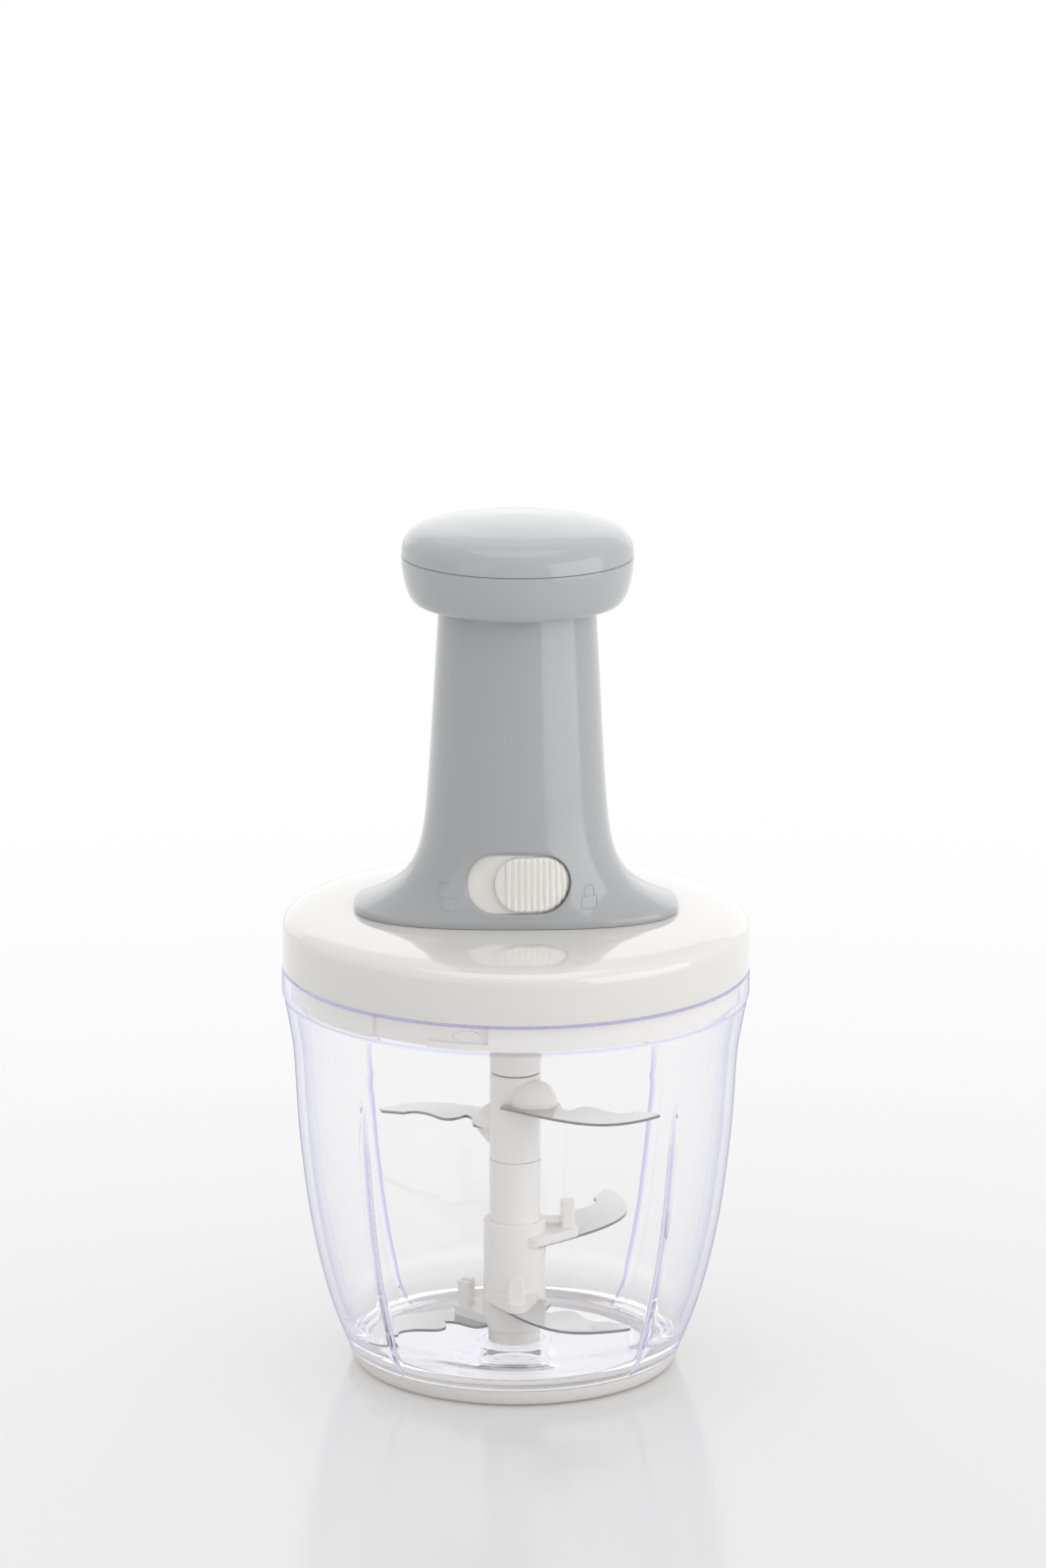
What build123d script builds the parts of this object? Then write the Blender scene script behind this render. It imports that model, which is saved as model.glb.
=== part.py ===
"""Plunger food chopper: clear bowl, twist-on lid, push tower with locking plunger, five blades.

Units are millimetres, +Z is up and the origin is the centre of the base on the table.
The chopper stands as stored: lid on, plunger pushed right down, lock slider at locked.
"""
import os
from math import cos, exp, hypot, pi, radians, sin, tan

from build123d import *

os.makedirs("parts", exist_ok=True)

# ---------------------------------------------------------------- driving dimensions
# Bowl
rim_radius = 65.0
rim_top = 114.7
rim_bottom = 106.9
bowl_wall = 2.4
bowl_foot_radius = 43.8
bowl_underside = 1.8
floor_top = 4.2
wall_start_z = 5.0
# outside of the bowl wall as (radius, height), foot to rim
bowl_side = [(46.7, wall_start_z), (52.1, 19.6), (57.1, 41.0), (60.4, 67.0), (62.0, 91.5), (63.0, 98.0),
             (64.6, rim_bottom)]
rib_height = 1.5
rib_width = 1.8
rib_top = 86.0
rib_count = 4
spigot_radius = 3.0
spigot_top = 24.0
boss_radius = 10.3
boss_top = 5.8
bayonet_count = 3
bayonet_angle = -103.3
stud_z = 111.2
stud_width = 9.0
stud_height = 3.8
stud_depth = 0.5
running_gap = 0.06

# Lid
lid_bottom = 115.0
lid_shoulder = 129.05
deck_top = 131.0
deck_thickness = 2.4
lid_inner_radius = 62.6
skirt_radius = 61.9
skirt_inner_radius = 59.6
skirt_bottom = 107.2
groove_radius = 60.7
groove_top = 113.6
groove_floor = 109.0
seal_top = 116.6
inner_disc_bottom = 108.6
inner_disc_top = 110.8
bearing_bottom = 104.0
bearing_top = 116.4
shaft_radius = 5.0
lid_screw_circle = 45.0
screw_radius = 1.45
screw_hole_radius = 1.5
screw_head_radius = 2.4

# Tower
foot_half_width = 45.1
foot_half_depth = 25.2
tower_top = 217.2
tower_wall = 2.0
neck_bore = 19.0
neck_land_bottom = 210.4
key_radius = 19.4
key_width = 3.0
window_z = 143.4
window_width = 28.6
window_height = 16.2
tower_screws_at = [(34, 8), (34, -8), (-34, 8), (-34, -8)]
# the neck tapers upwards to a circle, and below it flares out into the foot's two wings
neck_radius = 21.7
neck_width_taper = 0.0563
neck_depth_taper = 0.034
foot_edge_top = 132.9
foot_edge_rounding = 0.8
foot_squareness = 0.6
flare_height = 6.3

# Plunger and drive
stroke = 48.0
rod_lead = 32.0
knob_bottom = 218.0
knob_floor = 220.2
knob_flange_top = 222.6
knob_seam = 231.0
knob_radius = 32.0
knob_top = 240.9
knob_screw_circle = 23.0
sleeve_radius = 18.7
sleeve_bore = 17.0
sleeve_bottom = 152.0
drive_tube_radius = 9.4
drive_tube_bore = 7.0
rod_width = 8.0
rod_thickness = 3.0
rod_start = 134.4
rod_top = 208.0
nut_clearance = 0.2
nut_bottom = 147.4
nut_flange_top = 149.4
nut_top = 155.4
spring_seat_z = 133.0
spring_radius = 13.0
spring_wire = 0.8
spring_turns = 9
ratchet_teeth = 8
ratchet_bore = 5.2
ratchet_radius = 11.0
ratchet_base = 119.2
tooth_height = 2.0
tooth_gap = 0.15

# Lock slider
plate_inner = 20.1
plate_outer = 21.6
plate_bottom = 133.7
plate_top = 153.4
pad_height = 15.4
pad_left = -6.6
pad_right = 13.9
pad_face = 24.0
pad_rib_count = 10
pad_rib_pitch = 1.75
nose_radius = 18.2
tongue_radius = 18.5
tongue_bottom = 143.0
tongue_top = 145.4
guide_wall_inner = 18.6
guide_wall_outer = 19.8
slider_travel = 13.0
bracket_screw_circle = 16.6

# Blade column
column_radius = 7.15
hub_radius = 8.8
hub_bottom = 9.4
hub_top = 40.8
mast_seam = 58.6
collar_top = 83.6
drive_head_top = 95.0
hex_flats = 9.0
mast_spigot_radius = 4.6
mast_spigot_top = 70.0
blade_thickness = 0.8
pad_thickness = 2.6
post_radius = 14.8
post_angle = -70.0
post_width = 5.0
post_depth = 3.8
post_height = 7.2
dome_radius = 6.6
stake_radius = 1.2
# blade name: (turn about the column, height of its underside, rise in degrees towards the tip)
low_blades = {
    "blade_low_front": (-20.0, 17.6, 0.0),
    "blade_low_back": (226.0, 9.9, 0.0),
    "blade_middle": (73.0, 34.4, 5.0),
}
top_blades = {
    "blade_top_front": (0.0, 75.4, 0.0),
    "blade_top_back": (176.0, 66.0, 0.0),
}


def save(part, node):
    """Label a finished piece and write it as its own STEP file."""
    part.label = node
    export_step(part, f"parts/{node}.step")


def around_axis(radius, angle, height=0.0):
    """Point at a radius and an angle in degrees about the chopper's axis."""
    return (radius * cos(radians(angle)), radius * sin(radians(angle)), height)


def oval(height, half_width, half_depth, squareness=2.0):
    """Horizontal oval section; squareness 2 is a true ellipse, more fills its corners."""
    points = []
    for step in range(32):
        turn = 2 * pi * step / 32
        x = abs(cos(turn)) ** (2 / squareness) * (1 if cos(turn) > 0 else -1)
        y = abs(sin(turn)) ** (2 / squareness) * (1 if sin(turn) > 0 else -1)
        points.append((half_width * x, half_depth * y))
    with BuildSketch(Plane.XY.offset(height)) as section:
        with BuildLine():
            Spline(points, periodic=True)
        make_face()
    return section.sketch


def tower_shape(wall=0.0):
    """Solid of the tower's foot and neck, less a wall thickness measured square to the flare."""
    width_flare = foot_half_width - neck_radius - neck_width_taper * (tower_top - foot_edge_top)
    depth_flare = foot_half_depth - neck_radius - neck_depth_taper * (tower_top - foot_edge_top)
    sections = []
    for step in range(15):
        height = foot_edge_top + (tower_top - foot_edge_top) * (step / 14) ** 1.8
        fade = exp((foot_edge_top - height) / flare_height)
        slope = neck_width_taper + width_flare * fade / flare_height
        lean = hypot(1, slope)
        half_width = neck_radius + neck_width_taper * (tower_top - height) + width_flare * fade - wall / lean
        half_depth = neck_radius + neck_depth_taper * (tower_top - height) + depth_flare * fade - wall
        sections.append(oval(height - wall * slope / lean, half_width, half_depth, 2 + foot_squareness * fade))
    with BuildPart() as solid:
        loft(sections=sections)
        extrude(sections[0], amount=deck_top - foot_edge_top)
    return solid.part


def arc_wall(inner, outer, bottom, top, middle, half_angle):
    """Piece of a ring between two radii and two heights, centred on an angle about the axis."""
    start = radians(middle - half_angle)
    with BuildPart() as wall:
        with BuildSketch(Plane(origin=(0, 0, 0), x_dir=(cos(start), sin(start), 0), z_dir=(sin(start), -cos(start), 0))):
            with Locations(((inner + outer) / 2, (bottom + top) / 2)):
                Rectangle(outer - inner, top - bottom)
        revolve(axis=Axis.Z, revolution_arc=2 * half_angle)
    return wall.part


def twisted_bar(width, thickness, height):
    """Round-edged flat bar twisted right-handed at the rod's lead, from the rod's start upwards."""
    with BuildPart() as bar:
        with BuildLine():
            path = Line((0, 0, rod_start), (0, 0, rod_start + height))
        with BuildSketch(Plane.XY.offset(rod_start)):
            SlotOverall(width, thickness)
        turn = Helix(pitch=rod_lead, height=height, radius=10, center=(0, 0, rod_start), mode=Mode.PRIVATE)
        sweep(path=path, binormal=turn)
    return bar.part


def ratchet_ring(tooth_outline):
    """Ring of radial ratchet teeth; the outline takes the tooth pitch and gives (y, z) points."""
    with BuildPart() as tooth:
        for radius in (ratchet_bore - 1, ratchet_radius + 1):
            with BuildSketch(Plane.YZ.offset(radius)):
                Polygon(*tooth_outline(2 * radius * tan(pi / ratchet_teeth)), align=None)
        loft()
    with BuildPart() as ring:
        with PolarLocations(0, ratchet_teeth):
            add(tooth.part)
        with BuildSketch(Plane.XY.offset(ratchet_base)):
            Circle(ratchet_radius)
            Circle(ratchet_bore, mode=Mode.SUBTRACT)
        extrude(amount=2 * tooth_height, mode=Mode.INTERSECT)
    return ring.part


def blade_plane(turn, height, rise):
    """Plane of a blade's underside: x runs out along the blade, tilted up by its rise."""
    along = (cos(radians(turn)) * cos(radians(rise)), sin(radians(turn)) * cos(radians(rise)), sin(radians(rise)))
    up = (-cos(radians(turn)) * sin(radians(rise)), -sin(radians(turn)) * sin(radians(rise)), cos(radians(rise)))
    return Plane(origin=(0, 0, height), x_dir=along, z_dir=up)


def screws(places, seat_z, head_height, length, up):
    """Pan-head screws whose heads bear on a seat; the shanks run up or down from it."""
    toward = 1 if up else -1
    with BuildPart() as group:
        with BuildSketch(Plane.XY.offset(seat_z)):
            with Locations(*places):
                Circle(screw_head_radius)
        extrude(amount=-toward * head_height)
        with BuildSketch(Plane.XY.offset(seat_z)):
            with Locations(*places):
                Circle(screw_radius)
        extrude(amount=toward * length)
        with BuildSketch(Plane.XY.offset(seat_z - toward * head_height)):
            with Locations(*places):
                Rectangle(3.0, 0.7)
                Rectangle(0.7, 3.0)
        extrude(amount=toward * head_height * 0.6, mode=Mode.SUBTRACT)
    return group.part


# ---------------------------------------------------------------- bowl
# The inner wall follows the outer one at the wall thickness, measured square to the wall.
bowl_inner_side = []
for index, (radius, height) in enumerate(bowl_side):
    below = bowl_side[max(index - 1, 0)]
    above = bowl_side[min(index + 1, len(bowl_side) - 1)]
    lean = (above[0] - below[0]) / (above[1] - below[1])
    bowl_inner_side.append((radius - bowl_wall * hypot(1, lean), height))
bowl_inner_side[-1] = (lid_inner_radius, rim_bottom)
floor_edge = (bowl_inner_side[0][0] - 6.8, floor_top)
low_inner = bowl_inner_side[1]

# One upright chopping rib, standing off the inner wall and running out at its top.
with BuildPart() as bowl_rib:
    with BuildSketch(Plane.XZ):
        with BuildLine():
            crest = Spline([(r - rib_height, z) for r, z in bowl_inner_side[1:4]])
            root = Spline([(r + 0.9, z) for r, z in bowl_inner_side[1:4]])
            toe = (floor_edge[0] - 1.2, floor_top - 0.4)
            Spline(toe, crest @ 0, tangents=((1, 0.1), (0.28, 1)))
            Polyline(crest @ 1, (bowl_inner_side[4][0] - 0.6, rib_top), root @ 1)
            Polyline(toe, (bowl_foot_radius - 1, floor_top - 0.4), root @ 0)
        make_face()
    extrude(amount=rib_width / 2, both=True)

# Drop-shaped stud inside the rim, which the lid's skirt turns under.
with BuildPart() as bayonet_stud:
    with BuildSketch(Plane(origin=(lid_inner_radius + 0.6, 0, stud_z), x_dir=(0, 1, 0), z_dir=(-1, 0, 0))):
        Ellipse(stud_width / 2, stud_height / 2)
    extrude(amount=stud_depth + 0.6)

with BuildPart() as bowl:
    with BuildSketch(Plane.XZ):
        with BuildLine():
            side = Spline(bowl_side, tangents=((0.55, 1), (0.05, 1)))
            inside = Spline(bowl_inner_side[1:], tangents=((0.28, 1), (0, 1)))
            corner = Spline(floor_edge, low_inner, tangents=((1, 0), (0.28, 1)))
            Polyline(floor_edge, (0, floor_top), (0, bowl_underside), (bowl_foot_radius, bowl_underside),
                     (bowl_foot_radius, wall_start_z), bowl_side[0])
            Polyline(bowl_side[-1], (rim_radius, rim_bottom + 0.5), (rim_radius, rim_top),
                     (lid_inner_radius, rim_top), bowl_inner_side[-1])
        make_face()
    revolve(axis=Axis.Z)
    # pivot spigot with a domed top
    with BuildSketch(Plane.XZ):
        with Locations((0, (spigot_top - spigot_radius) / 2)):
            Rectangle(2 * spigot_radius, spigot_top - spigot_radius)
        with Locations((0, spigot_top - spigot_radius)):
            Circle(spigot_radius)
        with Locations((-50, 0)):
            Rectangle(100, 100, mode=Mode.SUBTRACT)
        with Locations((0, 0)):
            Rectangle(20, 2 * (floor_top - 1), mode=Mode.SUBTRACT)
    revolve(axis=Axis.Z)
    # ring that keeps food away from the pivot
    with BuildSketch(Plane.XY.offset(floor_top)):
        Circle(boss_radius)
        Circle(boss_radius - 1.8, mode=Mode.SUBTRACT)
    extrude(amount=boss_top - floor_top)
    with PolarLocations(0, rib_count, start_angle=45):
        add(bowl_rib.part)
    with PolarLocations(0, bayonet_count, start_angle=bayonet_angle):
        add(bayonet_stud.part)
save(bowl.part, "bowl")

# Soft ring that wraps the bowl's foot and stands on the table.
with BuildPart() as base_ring:
    with BuildSketch(Plane.XZ):
        with BuildLine():
            wrap = Spline((43.2, 0), (45.5, 2.0), bowl_side[0], tangents=((1, 0.3), (0.55, 1)))
            Polyline(bowl_side[0], (bowl_foot_radius, wall_start_z), (bowl_foot_radius, bowl_underside),
                     (38.5, bowl_underside), (38.5, 0), (43.2, 0))
        make_face()
    revolve(axis=Axis.Z)
save(base_ring.part, "base_ring")

# ---------------------------------------------------------------- lid
deck_under = deck_top - deck_thickness

# Outer lid: flush with the rim, gently domed, with a flat seat for the tower.
with BuildPart() as lid:
    with BuildSketch(Plane.XZ):
        with BuildLine():
            under = Spline((46.0, deck_under), (55.0, 127.7), (61.4, 124.6), tangents=((1, 0), (0.7, -1)))
            dome = Spline((62.8, lid_shoulder), (55.0, 130.45), (46.0, deck_top), tangents=((-1, 0.3), (-1, 0)))
            shoulder = Spline((rim_radius, 125.3), (62.8, lid_shoulder), tangents=((0, 1), (-1, 0.3)))
            Polyline((61.4, 124.6), (lid_inner_radius, 122.5), (lid_inner_radius, seal_top + 0.4),
                     (63.3, seal_top + 0.4), (63.3, lid_bottom), (rim_radius, lid_bottom), (rim_radius, 125.3))
            Polyline((46.0, deck_top), (shaft_radius + running_gap, deck_top),
                     (shaft_radius + running_gap, 126.4), (8.6, 126.4), (8.6, deck_under), (46.0, deck_under))
        make_face()
    revolve(axis=Axis.Z)
    # bosses for the inner lid's screws, and for the latch bracket's
    with BuildSketch(Plane.XY.offset(inner_disc_top)):
        with PolarLocations(lid_screw_circle, 4, start_angle=45):
            Circle(3.4)
    extrude(amount=deck_under + 0.8 - inner_disc_top)
    with BuildSketch(Plane.XY.offset(deck_under - 5.5)):
        with PolarLocations(bracket_screw_circle, 3, start_angle=90):
            Circle(2.8)
    extrude(amount=6.0)
    with BuildSketch(Plane.XY.offset(inner_disc_top)):
        with PolarLocations(lid_screw_circle, 4, start_angle=45):
            Circle(screw_hole_radius)
    extrude(amount=11.0, mode=Mode.SUBTRACT)
    with BuildSketch(Plane.XY.offset(deck_under - 4.5)):
        with PolarLocations(bracket_screw_circle, 3, start_angle=90):
            Circle(screw_hole_radius)
    extrude(amount=10.0, mode=Mode.SUBTRACT)
    with BuildSketch(Plane.XY.offset(deck_under - 1)):
        with Locations(*tower_screws_at):
            Circle(screw_hole_radius)
    extrude(amount=5.0, mode=Mode.SUBTRACT)
save(lid.part, "lid")

# One bayonet groove of the skirt: an entry slot open downwards, then a level channel.
groove_start = bayonet_angle - 26.5
groove_entry_end = bayonet_angle - 10.7
groove_end = bayonet_angle + 5.0
with BuildPart() as bayonet_groove:
    with BuildSketch(Plane.XZ):
        with Locations((groove_radius + 1.5, (skirt_bottom - 1 + groove_top) / 2)):
            Rectangle(3.0, groove_top - skirt_bottom + 1)
    revolve(axis=Axis.Z, revolution_arc=groove_entry_end - groove_start)
    with BuildSketch(Plane.XZ):
        with Locations((groove_radius + 1.5, (groove_floor + groove_top) / 2)):
            Rectangle(3.0, groove_top - groove_floor)
    revolve(axis=Axis.Z, revolution_arc=groove_end - groove_start)

# Inner lid: closes the drive from below, carries the skirt, the seal and the socket's bearing.
with BuildPart() as inner_lid:
    with BuildSketch(Plane.XZ):
        with BuildLine():
            Polyline((shaft_radius + running_gap, bearing_bottom), (9.5, bearing_bottom), (9.5, inner_disc_bottom),
                     (57.6, inner_disc_bottom), (59.0, skirt_bottom), (skirt_radius, skirt_bottom),
                     (skirt_radius, lid_bottom), (61.0, lid_bottom), (61.0, seal_top), (62.4, seal_top),
                     (62.4, 120.0), (skirt_inner_radius, 120.0), (skirt_inner_radius, inner_disc_top),
                     (9.5, inner_disc_top), (9.5, bearing_top), (shaft_radius + running_gap, bearing_top), close=True)
        make_face()
    revolve(axis=Axis.Z)
    with PolarLocations(0, bayonet_count, start_angle=groove_start):
        add(bayonet_groove.part, mode=Mode.SUBTRACT)
    with Locations(Plane(origin=(0, 0, inner_disc_bottom), z_dir=(0, 0, -1))):
        with PolarLocations(lid_screw_circle, 4, start_angle=45):
            CounterBoreHole(radius=screw_hole_radius, counter_bore_radius=3.0, counter_bore_depth=1.2)
save(inner_lid.part, "inner_lid")

# Flat silicone seal between the inner lid's neck and the bowl's rim.
with BuildPart() as lid_seal:
    with BuildSketch(Plane.XZ):
        with BuildLine():
            Polyline((61.0, lid_bottom), (63.2, lid_bottom), (63.2, lid_bottom + 0.5), (62.6, seal_top),
                     (61.0, seal_top), close=True)
        make_face()
    revolve(axis=Axis.Z)
save(lid_seal.part, "lid_seal")

# Thrust washer under the driven ratchet disc.
with BuildPart() as thrust_washer:
    with BuildSketch(Plane.XY.offset(bearing_top)):
        Circle(9.0)
        Circle(shaft_radius + 0.1, mode=Mode.SUBTRACT)
    extrude(amount=0.6)
save(thrust_washer.part, "thrust_washer")


lid_screws_at = [around_axis(lid_screw_circle, 45 + 90 * n)[:2] for n in range(4)]
save(screws(lid_screws_at, inner_disc_bottom + 1.2, 1.1, 9.0, up=True), "lid_screws")

# ---------------------------------------------------------------- tower
tower_outside = tower_shape()
tower_inside = tower_shape(tower_wall)
front = -90.0

# Room inside the tower, up to the land that guides the plunger.
with BuildPart() as tower_room:
    add(tower_inside)
    split(bisect_by=Plane.XY.offset(neck_land_bottom), keep=Keep.BOTTOM)

with BuildPart() as tower:
    add(tower_outside)
    add(tower_room.part, mode=Mode.SUBTRACT)
    with BuildSketch(Plane.XY.offset(neck_land_bottom - 1)):
        Circle(neck_bore)
        Rectangle(2 * key_radius + 0.4, key_width + 0.6)
    extrude(amount=10, mode=Mode.SUBTRACT)
    # window for the lock slider's pad
    with BuildSketch(Plane.XZ.offset(12)):
        with Locations((0, window_z)):
            SlotOverall(window_width, window_height)
    extrude(amount=20, mode=Mode.SUBTRACT)
    # rails that the slider's plate runs between
    add(arc_wall(20.0, 23.3, plate_top + 0.4, plate_top + 1.6, front, 40))
    add(arc_wall(20.0, 23.9, deck_top + 0.3, plate_bottom - 0.3, front, 40))
    # screw bosses under the flare
    with BuildSketch(Plane.XY.offset(deck_top)):
        with Locations(*tower_screws_at):
            Circle(2.8)
    extrude(amount=5.0)
    with BuildSketch(Plane.XY.offset(deck_top)):
        with Locations(*tower_screws_at):
            Circle(screw_hole_radius)
    extrude(amount=4.0, mode=Mode.SUBTRACT)
    fillet(tower.edges().filter_by_position(Axis.Z, foot_edge_top - 0.01, foot_edge_top + 0.01), foot_edge_rounding)
save(tower.part, "tower")
save(screws(tower_screws_at, deck_under, 1.6, 6.2, up=True), "tower_screws")

# Bracket on the deck: guides the slider, seats the spring and holds the rod down.
tongue_slot = arc_wall(18.0, 20.5, tongue_bottom - 0.3, tongue_top + 0.3, front - slider_travel / 2, 14)
with BuildPart() as latch_bracket:
    with BuildSketch(Plane.XZ):
        with BuildLine():
            Polyline((shaft_radius + 0.3, deck_top), (guide_wall_outer, deck_top), (guide_wall_outer, spring_seat_z),
                     (11.6, spring_seat_z), (11.6, 136.0), (10.8, 136.8), (7.4, 136.8), (7.4, spring_seat_z),
                     (shaft_radius + 0.3, spring_seat_z), close=True)
        make_face()
    revolve(axis=Axis.Z)
    add(arc_wall(guide_wall_inner, guide_wall_outer, deck_top, sleeve_bottom - 0.5, front, 48))
    add(tongue_slot, mode=Mode.SUBTRACT)
    with BuildSketch(Plane.XY.offset(deck_top)):
        with PolarLocations(bracket_screw_circle, 3, start_angle=90):
            Circle(screw_hole_radius)
    extrude(amount=3, mode=Mode.SUBTRACT)
save(latch_bracket.part, "latch_bracket")
bracket_screws_at = [around_axis(bracket_screw_circle, 90 + 120 * n)[:2] for n in range(3)]
save(screws(bracket_screws_at, spring_seat_z, 1.6, 7.0, up=False), "bracket_screws")

# Slider: curved plate behind the window with a ribbed thumb pad and the locking tongue.
with BuildPart() as slider_pad:
    with BuildSketch(Plane.XZ.offset(16)):
        with Locations((pad_left + 3.8, window_z)):
            Ellipse(3.8, pad_height / 2)
        with Locations((pad_right - pad_height / 2, window_z)):
            Circle(pad_height / 2)
        with Locations(((pad_left + 3.8 + pad_right - pad_height / 2) / 2, window_z)):
            Rectangle(pad_right - pad_left - 3.8 - pad_height / 2, pad_height)
    extrude(amount=12)
    with BuildSketch(Plane.XY.offset(plate_bottom)):
        Circle(pad_face)
        with PolarLocations(pad_face, pad_rib_count, start_angle=front - 9, angular_range=37.5, endpoint=True):
            Rectangle(1.1, pad_rib_pitch * 0.5)
        Circle(plate_inner + 0.5, mode=Mode.SUBTRACT)
    extrude(amount=plate_top - plate_bottom, mode=Mode.INTERSECT)
plate_half_angle = 42 + slider_travel / 2
with BuildPart() as lock_slider:
    add(arc_wall(plate_inner, plate_outer, plate_bottom, plate_top, front + slider_travel / 2, plate_half_angle))
    add(slider_pad.part)
    add(arc_wall(tongue_radius, plate_inner + 0.5, tongue_bottom, tongue_top, front, 5))
save(lock_slider.part, "lock_slider")

# ---------------------------------------------------------------- knob and plunger
with BuildPart() as knob_cap:
    with BuildSketch(Plane.XZ):
        with BuildLine():
            crown = Spline((knob_radius, knob_seam + 0.15), (31.4, 234.6), (28.8, 237.6), (22.7, 239.3),
                           (12.0, 240.5), (0, knob_top), tangents=((0, 1), (-1, 0)))
            hollow = Spline((0, 238.7), (12.0, 238.3), (21.0, 237.1), (26.2, 235.2), (28.0, 232.0),
                            tangents=((1, 0), (0, -1)))
            Line(crown @ 1, hollow @ 0)
            Polyline(hollow @ 1, (28.0, 229.0), (29.5, 229.0), (29.5, knob_seam + 0.15), crown @ 0)
        make_face()
    revolve(axis=Axis.Z)
    with BuildSketch(Plane.XY.offset(knob_flange_top)):
        with PolarLocations(knob_screw_circle, 4, start_angle=45):
            Circle(3.0)
            Circle(screw_hole_radius, mode=Mode.SUBTRACT)
    extrude(until=Until.NEXT)
save(knob_cap.part, "knob_cap")

with BuildPart() as knob_ring:
    with BuildSketch(Plane.XZ):
        with BuildLine():
            flank = Spline((27.6, knob_bottom), (29.8, 220.0), (30.75, 222.3), (31.45, 225.35),
                           (knob_radius, knob_seam - 0.15), tangents=((1, 0), (0.05, 1)))
            lining = Spline((29.8, 228.0), (29.4, 225.6), (28.4, 222.8), (26.4, knob_floor), tangents=((0, -1), (-1, -1)))
            Polyline(flank @ 1, (29.8, knob_seam - 0.15), lining @ 0)
            Polyline(lining @ 1, (neck_bore, knob_floor), (neck_bore, knob_bottom), flank @ 0)
        make_face()
    revolve(axis=Axis.Z)
    with Locations(Plane(origin=(0, 0, knob_bottom), z_dir=(0, 0, -1))):
        with PolarLocations(knob_screw_circle, 4, start_angle=45):
            CounterBoreHole(radius=screw_hole_radius, counter_bore_radius=2.7, counter_bore_depth=1.3)
save(knob_ring.part, "knob_ring")

# Sleeve that slides in the neck, with the tube that carries the drive nut and the catch leg.
with BuildPart() as plunger_sleeve:
    with BuildSketch(Plane.XZ):
        with BuildLine():
            Polyline((sleeve_bore, sleeve_bottom), (sleeve_radius, sleeve_bottom), (sleeve_radius, 155.9), (19.7, 155.9),
                     (19.7, 158.9), (sleeve_radius, 158.9), (sleeve_radius, knob_floor), (26.0, knob_floor),
                     (26.0, knob_flange_top), (drive_tube_bore, knob_flange_top), (drive_tube_bore, nut_flange_top),
                     (drive_tube_radius, nut_flange_top), (drive_tube_radius, knob_floor), (sleeve_bore, knob_floor),
                     close=True)
        make_face()
    revolve(axis=Axis.Z)
    # keys that stop the plunger turning
    with BuildSketch(Plane.XY.offset(158.9)):
        Rectangle(2 * key_radius, key_width)
        Circle(sleeve_bore + 0.5, mode=Mode.SUBTRACT)
    extrude(amount=tower_top - 158.9)
    # catch leg and nose that the slider's tongue holds down
    add(arc_wall(15.4, sleeve_bore + 0.4, 140.0, 158.0, front, 12))
    add(arc_wall(15.4, nose_radius, 140.0, tongue_bottom - 0.6, front, 5))
    with BuildSketch(Plane.XY.offset(knob_floor)):
        with PolarLocations(knob_screw_circle, 4, start_angle=45):
            Circle(screw_hole_radius)
    extrude(amount=3, mode=Mode.SUBTRACT)
save(plunger_sleeve.part, "plunger_sleeve")
knob_screws_at = [around_axis(knob_screw_circle, 45 + 90 * n)[:2] for n in range(4)]
save(screws(knob_screws_at, knob_bottom + 1.3, 1.2, 10.0, up=True), "knob_screws")

# Steel rod with a long right-hand twist; the nut turns it on every stroke.
rod_twist = twisted_bar(rod_width, rod_thickness, rod_top - rod_start)
nut_twist = twisted_bar(rod_width + 2 * nut_clearance, rod_thickness + 2 * nut_clearance, 40.0)
pin_z = 125.2
with BuildPart() as spiral_rod:
    with BuildSketch(Plane.XZ):
        with BuildLine():
            Polyline((0, 122.4), (2.9, 122.4), (2.9, 133.2), (6.0, 133.2), (6.0, rod_start), (0, rod_start), close=True)
        make_face()
    revolve(axis=Axis.Z)
    add(rod_twist)
    with BuildSketch(Plane.YZ.offset(-5)):
        with Locations((0, pin_z)):
            Circle(0.8)
    extrude(amount=10, mode=Mode.SUBTRACT)
save(spiral_rod.part, "spiral_rod")

with BuildPart() as rod_pin:
    with BuildSketch(Plane.YZ.offset(-4.7)):
        with Locations((0, pin_z)):
            Circle(0.77)
    extrude(amount=9.4)
save(rod_pin.part, "rod_pin")

with BuildPart() as drive_nut:
    with BuildSketch(Plane.XY.offset(nut_bottom)):
        Circle(drive_tube_radius)
    extrude(amount=nut_flange_top - nut_bottom)
    with BuildSketch(Plane.XY.offset(nut_flange_top)):
        Circle(drive_tube_bore - 0.04)
    extrude(amount=nut_top - nut_flange_top)
    add(nut_twist, mode=Mode.SUBTRACT)
save(drive_nut.part, "drive_nut")

# Open-coil spring between the bracket and the plunger's web.
with BuildPart() as return_spring:
    coil_start = spring_seat_z + spring_wire + 0.1
    coil_height = knob_floor - spring_wire - 0.1 - coil_start
    with BuildLine():
        coil = Helix(pitch=coil_height / spring_turns, height=coil_height, radius=spring_radius, center=(0, 0, coil_start))
    with BuildSketch(Plane(origin=coil @ 0, z_dir=coil % 0)):
        Circle(spring_wire)
    sweep(path=coil, is_frenet=True)
save(return_spring.part, "return_spring")

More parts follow.
